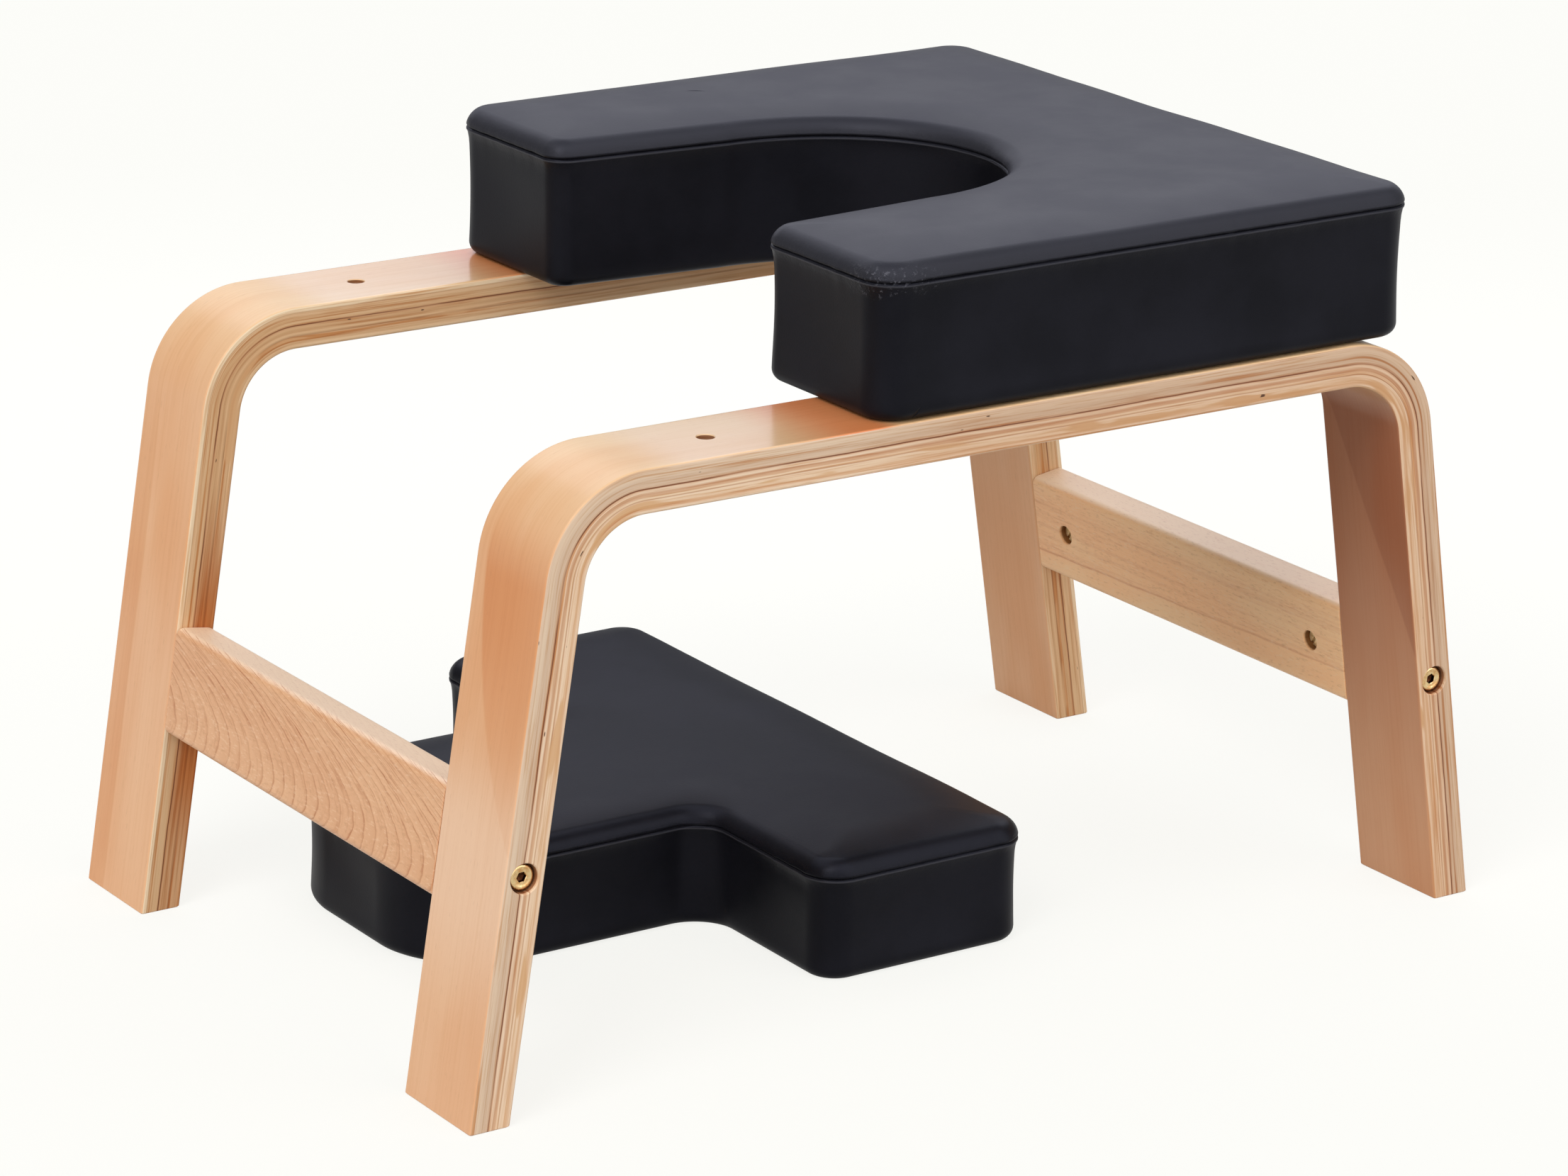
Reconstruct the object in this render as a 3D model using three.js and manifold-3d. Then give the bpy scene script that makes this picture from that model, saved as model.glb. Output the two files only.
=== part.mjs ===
// A yoga headstand stool: two bent-plywood side frames joined by two beech rails,
// a U-shaped shoulder pad bolted on top, and a loose T-shaped infill pad on the floor.
// Millimetres, +Z up. +X runs along the side frames and the shoulder pad opens towards -X.
// +Y runs across the stool, from the near frame to the far frame.
// The floor is Z = 0, and the origin lies on it under the middle of the whole set.

import * as THREE from 'three';
import { mergeVertices } from 'three/addons/utils/BufferGeometryUtils.js';
import Module from 'manifold-3d';

const wasm = await Module();
wasm.setup();

// Gaps between pieces that touch, and what a cut runs past a surface.
const faceGap = 0.3;
const rodGap = 0.3;
const overrun = 5;

// Side frames: one bent-plywood strip each.
const stoolLength = 585;
const stoolWidth = 380;
const frameTop = 299;
const stripWidth = 59;
const plyThickness = 21;
const splayAngle = THREE.MathUtils.degToRad(8.9);
const outerBend = 53;
const stripEase = 1.2;

// Rails and their joints to the legs.
const railHeight = 54;
const railThickness = 21;
const railCentreHeight = 118;
const railEdgeRound = 4;
const railBoltRadius = 3;
const railBoltHeadRadius = 6.4;
const railBoltHeadHeight = 3.6;
const railBoltHeadRound = 0.8;
const railBoltSink = 6.5;
const railBoltPastNut = 7;
const counterboreRoom = 0.9;
const boltHoleRoom = 0.5;
const socketAcrossFlats = 4;
const socketDepth = 2.4;
const barrelNutRadius = 5;
const barrelNutLength = 14;
const barrelNutSetback = 26.5;
const barrelNutSlotWidth = 1.4;
const barrelNutSlotDepth = 1.5;
const dowelRadius = 4;
const dowelLength = 30;
const dowelChamfer = 1;
const dowelSpread = 17;

// Shoulder pad.
const padOverhang = 1;
const padRearReach = 37;
const padLength = 314;
const padSeamHeight = 66;
const padCorner = 18;
const mouthHalf = 92;
const mouthCorner = 13;
const throatHalf = 84;
const throatSetback = 97;
const cutOutDepth = 190;

// Infill pad, and where it lies on the floor.
const barWidth = 123;
const barEndInset = 5;
const infillSeamHeight = 53;
const infillCorner = 18;
const stemFillet = 18;
const stemEndRound = 55;
const stemSideClear = 3;
const stemHeadRoom = 32;
const infillPadGap = 1;
const infillClearOfLeg = 55;
const infillClearOfFrame = 4;

// Covers, boards and foam, the same on both pads.
const coverThickness = 1.2;
const crownRollReach = 12;
const crownRollHeight = 9;
const crownFlatHalf = 11.5;
const crownFlatBow = 0.6;
const crownDomeHeight = 3;
const coverWrap = 18;
const bottomRound = 8.5;
const bandInset = 1.2;
const bandDrawIn = 1.6;
const bandPull = 2.6;
const bandRoll = 9;
const seamGap = 0.4;
const foamInset = 0.5;
const leastCorner = 4;
const boardEdgeRoom = 1.3;
const boardThickness = 12;
const baseClothThickness = 0.8;

// Fixings of the pads.
const fixingHoleSetback = 74;
const fixingHoleRadius = 4.25;
const padBoltFrontInset = 42;
const padBoltRearInset = 62;
const padBoltRadius = 3;
const padBoltEndRoom = 0.9;
const padBoltHeadRadius = 6;
const padBoltHeadHeight = 3.2;
const padBoltHeadRound = 0.6;
const washerRadius = 9;
const washerThickness = 1.5;
const boreRoom = 0.4;
const insertWall = 0.7;
const insertFlangeRadius = 9.5;
const insertFlangeThickness = 1.2;
const insertBarrelShort = 1.5;
const clothHoleRadius = 4.2;

// How finely round shapes are cut.
const bendSegments = 6;
const roundSides = 20;
const smallSides = 12;

// Places that follow from the sizes above.
const legSlope = Math.tan(splayAngle);
const legStretch = 1 / Math.cos(splayAngle);
const footHalf = stoolLength / 2;
const innerBend = outerBend - plyThickness;
const bendCentreZ = frameTop - outerBend;
const bendCentreX = footHalf - legSlope * bendCentreZ - outerBend * legStretch;
const frameOuterY = stoolWidth / 2;
const frameInnerY = frameOuterY - stripWidth;
const frameMiddleY = frameOuterY - stripWidth / 2;
const frameUnderside = frameTop - plyThickness;
const railHalf = frameInnerY - faceGap;
const railBoltHoleRadius = railBoltRadius + boltHoleRoom;
const counterboreRadius = railBoltHeadRadius + counterboreRoom;
const railX = footHalf - legSlope * railCentreHeight - (railThickness / 2) * legStretch;
const padRear = bendCentreX + padRearReach;
const padFront = padRear - padLength;
const padHalf = frameOuterY + padOverhang;
const padBase = frameTop + faceGap;
const throatX = padFront + throatSetback;
const throatDepth = cutOutDepth - throatSetback;
const fixingHoleX = padFront - fixingHoleSetback;
const padBoltXs = [padFront + padBoltFrontInset, padRear - padBoltRearInset];
const leastPadWidth = Math.min(padHalf - mouthHalf, padLength - cutOutDepth, barWidth);
const crownDomeReach = leastPadWidth / 2 - crownFlatHalf;
const barLength = stoolWidth - 2 * barEndInset;
const stemHalf = throatHalf - stemSideClear;
const stemLength = cutOutDepth - stemHeadRoom;
const stemEndX = infillClearOfLeg - (footHalf - plyThickness * legStretch);
const barFront = stemEndX + stemLength;
const barRear = barFront + barWidth;
const barNearY = infillClearOfFrame - frameInnerY;
const barMiddleY = barNearY + barLength / 2;
const infillInsertX = barFront + fixingHoleSetback - infillPadGap;
const boardInset = bandInset + bottomRound + boardEdgeRoom;
const boardBase = coverThickness + faceGap;
const boardTop = boardBase + boardThickness;
const washerTop = frameUnderside - faceGap;
const padBoltSeat = washerTop - washerThickness - faceGap;
const padBoltLength = padBase + boardTop - padBoltEndRoom - padBoltSeat;
const bore = padBoltRadius + boreRoom;
const insertBarrelRadius = bore + insertWall;
const middleShiftY = -(barNearY + barLength - padHalf) / 2;

const materials = {
  veneer: new THREE.MeshStandardMaterial({ color: 0xe4b996, roughness: 0.5, metalness: 0 }),
  beech: new THREE.MeshStandardMaterial({ color: 0xd9a981, roughness: 0.55, metalness: 0 }),
  dowel: new THREE.MeshStandardMaterial({ color: 0xdcbb93, roughness: 0.7, metalness: 0 }),
  brass: new THREE.MeshStandardMaterial({ color: 0xc49a56, roughness: 0.35, metalness: 0.9 }),
  steel: new THREE.MeshStandardMaterial({ color: 0xb9bcc0, roughness: 0.35, metalness: 0.9 }),
  leather: new THREE.MeshStandardMaterial({ color: 0x232327, roughness: 0.5, metalness: 0 }),
  foam: new THREE.MeshStandardMaterial({ color: 0xe8dfc0, roughness: 0.95, metalness: 0 }),
  board: new THREE.MeshStandardMaterial({ color: 0xd2b183, roughness: 0.75, metalness: 0 }),
  baseCloth: new THREE.MeshStandardMaterial({ color: 0x1b1b1d, roughness: 0.95, metalness: 0 }),
};

// Solids and geometries.

function toSolid(geometry) {
  const bare = geometry.clone();
  bare.deleteAttribute('normal');
  bare.deleteAttribute('uv');
  const welded = mergeVertices(bare);
  return new wasm.Manifold(new wasm.Mesh({
    numProp: 3,
    vertProperties: new Float32Array(welded.attributes.position.array),
    triVerts: new Uint32Array(welded.index.array),
  }));
}

function toGeometry(solid) {
  const mesh = solid.getMesh();
  const geometry = new THREE.BufferGeometry();
  geometry.setAttribute('position', new THREE.BufferAttribute(mesh.vertProperties, 3));
  geometry.setIndex(new THREE.BufferAttribute(mesh.triVerts, 1));
  geometry.computeVertexNormals();
  return geometry;
}

function cut(geometry, cutters) {
  const solid = cutters.reduce((left, cutter) => left.subtract(toSolid(cutter)), toSolid(geometry));
  return toGeometry(solid);
}

// A cylinder on the named axis, centred at the given point.
function rod(axis, radius, length, sides, centre) {
  const geometry = new THREE.CylinderGeometry(radius, radius, length, sides);
  if (axis === 'x') geometry.rotateZ(Math.PI / 2);
  if (axis === 'z') geometry.rotateX(Math.PI / 2);
  return geometry.translate(centre.x, centre.y, centre.z);
}

// A turned piece from [radius, height] points, with its axis on Y.
function turned(points, sides) {
  return new THREE.LatheGeometry(points.map(([radius, height]) => new THREE.Vector2(radius, height)), sides);
}

// A flat plate whose outline lies in X and Y, from the level base upwards.
function plate(outline, base, thickness) {
  const shape = new THREE.Shape(outline.map((point) => new THREE.Vector2(point.x, point.y)));
  const geometry = new THREE.ExtrudeGeometry(shape, { depth: thickness, bevelEnabled: false });
  return geometry.translate(0, 0, base);
}

function named(name, geometry, material) {
  const mesh = new THREE.Mesh(geometry, material);
  mesh.name = name;
  return mesh;
}

// Side frames. The side is -1 for the near frame and 1 for the far frame.

function stripShape() {
  const footInner = footHalf - plyThickness * legStretch;
  const left = Math.PI - splayAngle;
  const shape = new THREE.Shape();
  shape.moveTo(-footInner, 0);
  shape.lineTo(-footHalf, 0);
  shape.absarc(-bendCentreX, bendCentreZ, outerBend, left, Math.PI / 2, true);
  shape.absarc(bendCentreX, bendCentreZ, outerBend, Math.PI / 2, splayAngle, true);
  shape.lineTo(footHalf, 0);
  shape.lineTo(footInner, 0);
  shape.absarc(bendCentreX, bendCentreZ, innerBend, splayAngle, Math.PI / 2, false);
  shape.absarc(-bendCentreX, bendCentreZ, innerBend, Math.PI / 2, left, false);
  shape.closePath();
  return shape;
}

// A point of the leg's joint, found from the rail's centre and its tilt.
function jointPoint(end, along, y) {
  const x = end * (railX - along * Math.sin(splayAngle));
  return new THREE.Vector3(x, y, railCentreHeight + along * Math.cos(splayAngle));
}

function sideFrame(side) {
  const strip = new THREE.ExtrudeGeometry(stripShape(), {
    depth: stripWidth - 2 * stripEase,
    bevelThickness: stripEase,
    bevelSize: stripEase,
    bevelOffset: -stripEase,
    bevelSegments: 1,
    curveSegments: bendSegments,
  });
  strip.translate(0, 0, stripEase - stripWidth / 2);
  strip.rotateX(Math.PI / 2);
  strip.translate(0, side * frameMiddleY, 0);

  const middleZ = frameTop - plyThickness / 2;
  const throughTop = plyThickness + 2 * overrun;
  const topHole = (x, radius) => {
    const centre = new THREE.Vector3(x, side * frameMiddleY, middleZ);
    return rod('z', radius, throughTop, roundSides, centre);
  };
  const cutters = [
    topHole(fixingHoleX, fixingHoleRadius),
    ...padBoltXs.map((x) => topHole(x, padBoltRadius + boltHoleRoom)),
  ];
  const throughLeg = stripWidth + 2 * overrun;
  const sinkDepth = railBoltSink + overrun;
  const sinkY = side * (frameOuterY - railBoltSink + sinkDepth / 2);
  const dowelDepth = dowelLength / 2 + rodGap + overrun;
  const dowelY = side * (frameInnerY - overrun + dowelDepth / 2);
  for (const end of [-1, 1]) {
    const legMiddle = jointPoint(end, 0, side * frameMiddleY);
    cutters.push(rod('y', counterboreRadius, sinkDepth, roundSides, jointPoint(end, 0, sinkY)));
    cutters.push(rod('y', railBoltHoleRadius, throughLeg, roundSides, legMiddle));
    for (const along of [-dowelSpread, dowelSpread]) {
      cutters.push(rod('y', dowelRadius + rodGap, dowelDepth, smallSides, jointPoint(end, along, dowelY)));
    }
  }
  return cut(strip, cutters);
}

// Rails, each in a frame of its own: Y along the rail, Z up its tilted face.

function rail(inward) {
  const halfX = railThickness / 2;
  const halfZ = railHeight / 2;
  const shape = new THREE.Shape();
  shape.absarc(halfX - railEdgeRound, -halfZ + railEdgeRound, railEdgeRound, -Math.PI / 2, 0, false);
  shape.absarc(halfX - railEdgeRound, halfZ - railEdgeRound, railEdgeRound, 0, Math.PI / 2, false);
  shape.absarc(-halfX + railEdgeRound, halfZ - railEdgeRound, railEdgeRound, Math.PI / 2, Math.PI, false);
  shape.absarc(-halfX + railEdgeRound, -halfZ + railEdgeRound, railEdgeRound, Math.PI, 1.5 * Math.PI, false);
  const bar = new THREE.ExtrudeGeometry(shape, {
    depth: 2 * railHalf,
    bevelEnabled: false,
    curveSegments: 2,
  });
  bar.translate(0, 0, -railHalf);
  bar.rotateX(Math.PI / 2);

  const boltDepth = barrelNutSetback + railBoltPastNut + 2 * rodGap + overrun;
  const dowelDepth = dowelLength / 2 + rodGap + overrun;
  const nutDepth = railThickness / 2 + barrelNutLength / 2 + rodGap + overrun;
  const nutX = inward * (railThickness / 2 + overrun - nutDepth / 2);
  const cutters = [];
  for (const side of [-1, 1]) {
    const at = (depth, along) => new THREE.Vector3(0, side * (frameInnerY + overrun - depth / 2), along);
    const nutPlace = new THREE.Vector3(nutX, side * (frameInnerY - barrelNutSetback), 0);
    cutters.push(rod('y', railBoltHoleRadius, boltDepth, roundSides, at(boltDepth, 0)));
    cutters.push(rod('x', barrelNutRadius + rodGap, nutDepth, roundSides, nutPlace));
    for (const along of [-dowelSpread, dowelSpread]) {
      cutters.push(rod('y', dowelRadius + rodGap, dowelDepth, smallSides, at(dowelDepth, along)));
    }
  }
  return cut(bar, cutters);
}

// A hexagon socket, cut down from the level top of a head on the Y axis.
function hexSocket(top) {
  const cornerRadius = socketAcrossFlats / Math.sqrt(3);
  const depth = socketDepth + overrun;
  const prism = new THREE.CylinderGeometry(cornerRadius, cornerRadius, depth, 6);
  return prism.translate(0, top + overrun - depth / 2, 0);
}

// A bolt on the Y axis with its seat at zero, its head above and its shank below.
function socketBolt(shankRadius, shankLength, headRadius, headHeight, headRound) {
  const body = turned([
    [0, -shankLength],
    [shankRadius, -shankLength],
    [shankRadius, 0],
    [headRadius, 0],
    [headRadius, headHeight - headRound],
    [headRadius - headRound, headHeight],
    [0, headHeight],
  ], roundSides);
  return cut(body, [hexSocket(headHeight)]);
}

// A slotted barrel nut on the X axis, with its slotted end towards the stool's inside.
function barrelNut(inward) {
  const middle = new THREE.Vector3();
  const across = 2 * barrelNutRadius + 2 * overrun;
  const barrel = rod('x', barrelNutRadius, barrelNutLength, roundSides, middle);
  const bolt = rod('y', railBoltRadius + rodGap, across, smallSides, middle);
  const slotDepth = barrelNutSlotDepth + overrun;
  const slot = new THREE.BoxGeometry(slotDepth, across, barrelNutSlotWidth);
  slot.translate(inward * (barrelNutLength / 2 + overrun - slotDepth / 2), 0, 0);
  return cut(barrel, [bolt, slot]);
}

function dowel() {
  const half = dowelLength / 2;
  return turned([
    [0, -half],
    [dowelRadius - dowelChamfer, -half],
    [dowelRadius, -half + dowelChamfer],
    [dowelRadius, half - dowelChamfer],
    [dowelRadius - dowelChamfer, half],
    [0, half],
  ], smallSides);
}

// Everything at one end of the stool: the rail, its bolts, barrel nuts and dowels.
function railEnd(end, endName) {
  const inward = -end;
  const group = new THREE.Group();
  group.position.set(end * railX, 0, railCentreHeight);
  group.rotation.y = -end * splayAngle;
  group.add(named(`${endName}_rail`, rail(inward), materials.beech));

  const seatY = frameOuterY - railBoltSink + faceGap;
  const nutY = frameInnerY - barrelNutSetback;
  const shankLength = seatY - nutY + railBoltPastNut;
  for (const [side, sideName] of [[-1, 'near'], [1, 'far']]) {
    const place = `${endName}_${sideName}`;
    const head = [railBoltHeadRadius, railBoltHeadHeight, railBoltHeadRound];
    const screw = socketBolt(railBoltRadius, shankLength, ...head);
    const bolt = named(`rail_bolt_${place}`, screw, materials.brass);
    bolt.position.y = side * seatY;
    bolt.rotation.x = side > 0 ? 0 : Math.PI;
    const nut = named(`barrel_nut_${place}`, barrelNut(inward), materials.brass);
    nut.position.y = side * nutY;
    group.add(bolt, nut);
    for (const [along, levelName] of [[-dowelSpread, 'lower'], [dowelSpread, 'upper']]) {
      const pin = named(`dowel_${place}_${levelName}`, dowel(), materials.dowel);
      pin.position.set(0, side * frameInnerY, along);
      group.add(pin);
    }
  }
  return group;
}

// Pad outlines. A corner has its point, its radius, the pieces of its arc, and the
// number of cuts along the edge that follows it.

function corner(x, y, radius, pieces, cuts) {
  return { point: new THREE.Vector2(x, y), radius: Math.max(radius, leastCorner), pieces, cuts };
}

function bare(x, y) {
  return { point: new THREE.Vector2(x, y), radius: 0, pieces: 0, cuts: 0 };
}

// The shoulder pad's corners, moved in from its edge by the inset.
function shoulderCorners(inset) {
  const front = padFront + inset;
  const rear = padRear - inset;
  const half = padHalf - inset;
  const mouth = mouthHalf + inset;
  const curve = [];
  const steps = 10;
  for (let i = 0; i <= steps; i++) {
    const angle = Math.PI / 2 - Math.PI * (i / steps);
    const x = throatX + (throatDepth + inset) * Math.cos(angle);
    curve.push(bare(x, (throatHalf + inset) * Math.sin(angle)));
  }
  return [
    corner(front, -half, padCorner - inset, 3, 2),
    corner(rear, -half, padCorner - inset, 3, 2),
    corner(rear, half, padCorner - inset, 3, 2),
    corner(front, half, padCorner - inset, 3, 1),
    corner(front, mouth, mouthCorner - inset, 2, 0),
    ...curve,
    corner(front, -mouth, mouthCorner - inset, 2, 1),
  ];
}

// The infill pad's corners, moved in from its edge by the inset.
function infillCorners(inset) {
  const front = barFront + inset;
  const rear = barRear - inset;
  const half = barLength / 2 - inset;
  const stem = stemHalf - inset;
  const tip = stemEndX + inset;
  const y = barMiddleY;
  return [
    corner(front, y - half, infillCorner - inset, 3, 1),
    corner(rear, y - half, infillCorner - inset, 3, 2),
    corner(rear, y + half, infillCorner - inset, 3, 1),
    corner(front, y + half, infillCorner - inset, 3, 0),
    corner(front, y + stem, stemFillet + inset, 2, 1),
    corner(tip, y + stem, stemEndRound - inset, 5, 0),
    corner(tip, y - stem, stemEndRound - inset, 5, 1),
    corner(front, y - stem, stemFillet + inset, 2, 0),
  ];
}

// The arc that rounds one corner.
function cornerArc(before, at, after) {
  if (at.pieces === 0) return [at.point.clone()];
  const back = before.point.clone().sub(at.point).normalize();
  const ahead = after.point.clone().sub(at.point).normalize();
  const halfAngle = Math.acos(back.dot(ahead)) / 2;
  const toCentre = back.clone().add(ahead).normalize().multiplyScalar(at.radius / Math.sin(halfAngle));
  const centre = at.point.clone().add(toCentre);
  const reach = at.radius / Math.tan(halfAngle);
  const start = at.point.clone().addScaledVector(back, reach).sub(centre);
  const end = at.point.clone().addScaledVector(ahead, reach).sub(centre);
  const turn = Math.atan2(start.cross(end), start.dot(end));
  const points = [];
  for (let i = 0; i <= at.pieces; i++) {
    points.push(start.clone().rotateAround(new THREE.Vector2(), turn * (i / at.pieces)).add(centre));
  }
  return points;
}

// The closed outline through rounded corners. An outline with a pull is cut along its
// edges too, and there each edge bows in by the pull.
function outline(corners, pull = null) {
  const arcs = corners.map((at, i) => cornerArc(corners.at(i - 1), at, corners[(i + 1) % corners.length]));
  return arcs.flatMap((arc, i) => {
    const start = arc.at(-1);
    const end = arcs[(i + 1) % arcs.length][0];
    const inwards = end.clone().sub(start).normalize().rotateAround(new THREE.Vector2(), Math.PI / 2);
    const points = [...arc];
    const cuts = pull === null ? 0 : corners[i].cuts;
    for (let j = 1; j <= cuts; j++) {
      const share = j / (cuts + 1);
      points.push(start.clone().lerp(end, share).addScaledVector(inwards, pull * Math.sin(Math.PI * share)));
    }
    return points;
  });
}

// A closed body through a stack of rings with equal counts of points. The rings run
// anticlockwise, seen from above, and the stack either closes on itself or is capped.
// Rising and falling walls split their faces along the same diagonal, so that a wall and
// what fills it keep their gap.
function loft(rings, closesOnItself) {
  const count = rings[0].length;
  const index = [];
  const spans = closesOnItself ? rings.length : rings.length - 1;
  for (let i = 0; i < spans; i++) {
    const low = i * count;
    const high = ((i + 1) % rings.length) * count;
    const rises = rings[(i + 1) % rings.length][0].z > rings[i][0].z;
    for (let j = 0; j < count; j++) {
      const k = (j + 1) % count;
      if (rises) index.push(low + j, low + k, high + k, low + j, high + k, high + j);
      else index.push(low + j, low + k, high + j, low + k, high + k, high + j);
    }
  }
  if (!closesOnItself) {
    const cap = (ring, start, facesUp) => {
      const flat = ring.map((point) => new THREE.Vector2(point.x, point.y));
      for (const face of THREE.ShapeUtils.triangulateShape(flat, [])) {
        const isUp = THREE.ShapeUtils.area(face.map((i) => flat[i])) > 0;
        const [a, b, c] = face.map((i) => start + i);
        index.push(...(isUp === facesUp ? [a, b, c] : [a, c, b]));
      }
    };
    cap(rings[0], 0, false);
    cap(rings.at(-1), (rings.length - 1) * count, true);
  }
  const geometry = new THREE.BufferGeometry();
  const positions = rings.flat().flatMap((point) => [point.x, point.y, point.z]);
  geometry.setAttribute('position', new THREE.Float32BufferAttribute(positions, 3));
  geometry.setIndex(index);
  geometry.computeVertexNormals();
  return geometry;
}

function ring(cornersAt, base, [inset, height, pull = 0]) {
  return outline(cornersAt(inset), pull).map((point) => new THREE.Vector3(point.x, point.y, base + height));
}

// The crown's level over the seam, seen at an inset from the edge. The part near the
// edge is a quarter ellipse, given by its angle, and a low dome runs on past it.
function crownDome(inset) {
  const rest = 1 - Math.min(inset / crownDomeReach, 1);
  return crownDomeHeight * (1 - rest * rest);
}

function crownPoint(angle, thickness, seamHeight) {
  const inset = crownRollReach - (crownRollReach - thickness) * Math.cos(angle);
  const rise = (crownRollHeight - thickness) * Math.sin(angle) + crownDome(inset) * Math.sin(angle);
  return [inset, seamHeight + rise];
}

function crownMiddle(thickness, seamHeight) {
  return [crownDomeReach, seamHeight + crownRollHeight + crownDomeHeight - thickness, crownFlatBow];
}

// The top panel: its under surface from the middle out, then its upper surface back in.
function topCover(cornersAt, base, seamHeight) {
  const edge = seamHeight + seamGap / 2;
  const profile = [
    crownMiddle(coverThickness, edge),
    crownPoint(Math.PI / 2, coverThickness, edge),
    crownPoint(Math.PI / 4, coverThickness, edge),
    crownPoint(0, coverThickness, edge),
    crownPoint(0, 0, edge),
    crownPoint(Math.PI / 6, 0, edge),
    crownPoint(Math.PI / 3, 0, edge),
    crownPoint(Math.PI / 2, 0, edge),
    crownMiddle(0, edge),
  ];
  return loft(profile.map((step) => ring(cornersAt, base, step)), false);
}

// The side band: from its wrapped edge under the board, out round the bottom, up the
// drawn-in side to the seam, and back down inside.
function sideCover(cornersAt, base, seamHeight) {
  const edge = seamHeight - seamGap / 2;
  const middle = (bottomRound + seamHeight) / 2;
  const lower = (angle) => [
    bandInset + bottomRound * (1 - Math.sin(angle)),
    bottomRound * (1 - Math.cos(angle)),
  ];
  const profile = [
    [coverWrap, 0],
    lower(0),
    lower(Math.PI / 4),
    [...lower(Math.PI / 2), bandPull / 3],
    [bandInset + bandDrawIn, middle, bandPull],
    [bandInset, seamHeight - bandRoll, bandPull / 3],
    [0, edge],
    [coverThickness, edge],
    [bandInset + bandDrawIn + coverThickness, middle, bandPull],
    [bandInset + coverThickness, bottomRound, bandPull / 3],
    [bandInset + bottomRound, coverThickness],
    [coverWrap, coverThickness],
  ];
  return loft(profile.map((step) => ring(cornersAt, base, step)), true);
}

// The foam block, with the board let into its underside and pockets for the inserts.
function foamBlock(cornersAt, base, seamHeight, insertPlaces) {
  const skin = coverThickness + foamInset;
  const middle = (bottomRound + seamHeight) / 2;
  const profile = [
    [bandInset + bottomRound + foamInset, boardBase, bandPull / 3],
    [bandInset + skin, bottomRound, bandPull / 3],
    [bandInset + bandDrawIn + skin, middle, bandPull],
    crownPoint(0, skin, seamHeight),
    crownPoint(Math.PI / 2, skin, seamHeight),
    crownMiddle(skin, seamHeight),
  ];
  const block = loft(profile.map((step) => ring(cornersAt, base, step)), false);
  const pocketDepth = boardThickness + faceGap + overrun;
  const pocket = plate(outline(cornersAt(boardInset - faceGap)), base + boardBase - overrun, pocketDepth);
  const flangeRoom = insertFlangeThickness + 2 * faceGap;
  const flangeMiddle = base + boardTop + (flangeRoom - overrun) / 2;
  const flangePockets = insertPlaces.map(({ x, y }) => {
    const centre = new THREE.Vector3(x, y, flangeMiddle);
    return rod('z', insertFlangeRadius + faceGap, flangeRoom + overrun, roundSides, centre);
  });
  return cut(block, [pocket, ...flangePockets]);
}

// A flat sheet of a pad, with a hole at each insert.
function holedPlate(shape, base, thickness, insertPlaces, holeRadius) {
  const middle = base + thickness / 2;
  const holes = insertPlaces.map(({ x, y }) => {
    const centre = new THREE.Vector3(x, y, middle);
    return rod('z', holeRadius, thickness + 2 * overrun, smallSides, centre);
  });
  return cut(plate(shape, base, thickness), holes);
}

function padBoard(cornersAt, base, insertPlaces) {
  const shape = outline(cornersAt(boardInset));
  return holedPlate(shape, base + boardBase, boardThickness, insertPlaces, insertBarrelRadius + rodGap);
}

function baseCloth(cornersAt, base, insertPlaces) {
  const shape = outline(cornersAt(coverWrap + faceGap));
  const lift = coverThickness - baseClothThickness;
  return holedPlate(shape, base + lift, baseClothThickness, insertPlaces, clothHoleRadius);
}

// A threaded insert on the Y axis: its flange's underside at zero, its barrel below.
function insert() {
  const bottom = insertBarrelShort - boardThickness;
  return turned([
    [bore, bottom],
    [insertBarrelRadius, bottom],
    [insertBarrelRadius, 0],
    [insertFlangeRadius, 0],
    [insertFlangeRadius, insertFlangeThickness],
    [bore, insertFlangeThickness],
    [bore, bottom],
  ], smallSides);
}

function washer() {
  return turned([
    [bore, 0],
    [washerRadius, 0],
    [washerRadius, washerThickness],
    [bore, washerThickness],
    [bore, 0],
  ], smallSides);
}

// One pad: board, foam, top panel, side band, base cloth and inserts.
function upholsteredPad(prefix, cornersAt, base, seamHeight, insertPlaces) {
  const group = new THREE.Group();
  group.add(
    named(`${prefix}_board`, padBoard(cornersAt, base, insertPlaces), materials.board),
    named(`${prefix}_foam`, foamBlock(cornersAt, base, seamHeight, insertPlaces), materials.foam),
    named(`${prefix}_top_cover`, topCover(cornersAt, base, seamHeight), materials.leather),
    named(`${prefix}_side_cover`, sideCover(cornersAt, base, seamHeight), materials.leather),
    named(`${prefix}_base_cloth`, baseCloth(cornersAt, base, insertPlaces), materials.baseCloth),
  );
  for (const { x, y, name } of insertPlaces) {
    const piece = named(`${prefix}_insert_${name}`, insert(), materials.steel);
    piece.position.set(x, y, base + boardTop + faceGap);
    piece.rotation.x = Math.PI / 2;
    group.add(piece);
  }
  return group;
}

// Bolts and washers that hold the shoulder pad down through the frame tops.
function padBolts(places) {
  const group = new THREE.Group();
  for (const { x, y, name } of places) {
    const ringPiece = named(`pad_washer_${name}`, washer(), materials.steel);
    ringPiece.position.set(x, y, washerTop - washerThickness);
    ringPiece.rotation.x = Math.PI / 2;
    const head = [padBoltHeadRadius, padBoltHeadHeight, padBoltHeadRound];
    const screw = socketBolt(padBoltRadius, padBoltLength, ...head);
    const bolt = named(`pad_bolt_${name}`, screw, materials.steel);
    bolt.position.set(x, y, padBoltSeat);
    bolt.rotation.x = -Math.PI / 2;
    group.add(ringPiece, bolt);
  }
  return group;
}

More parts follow.
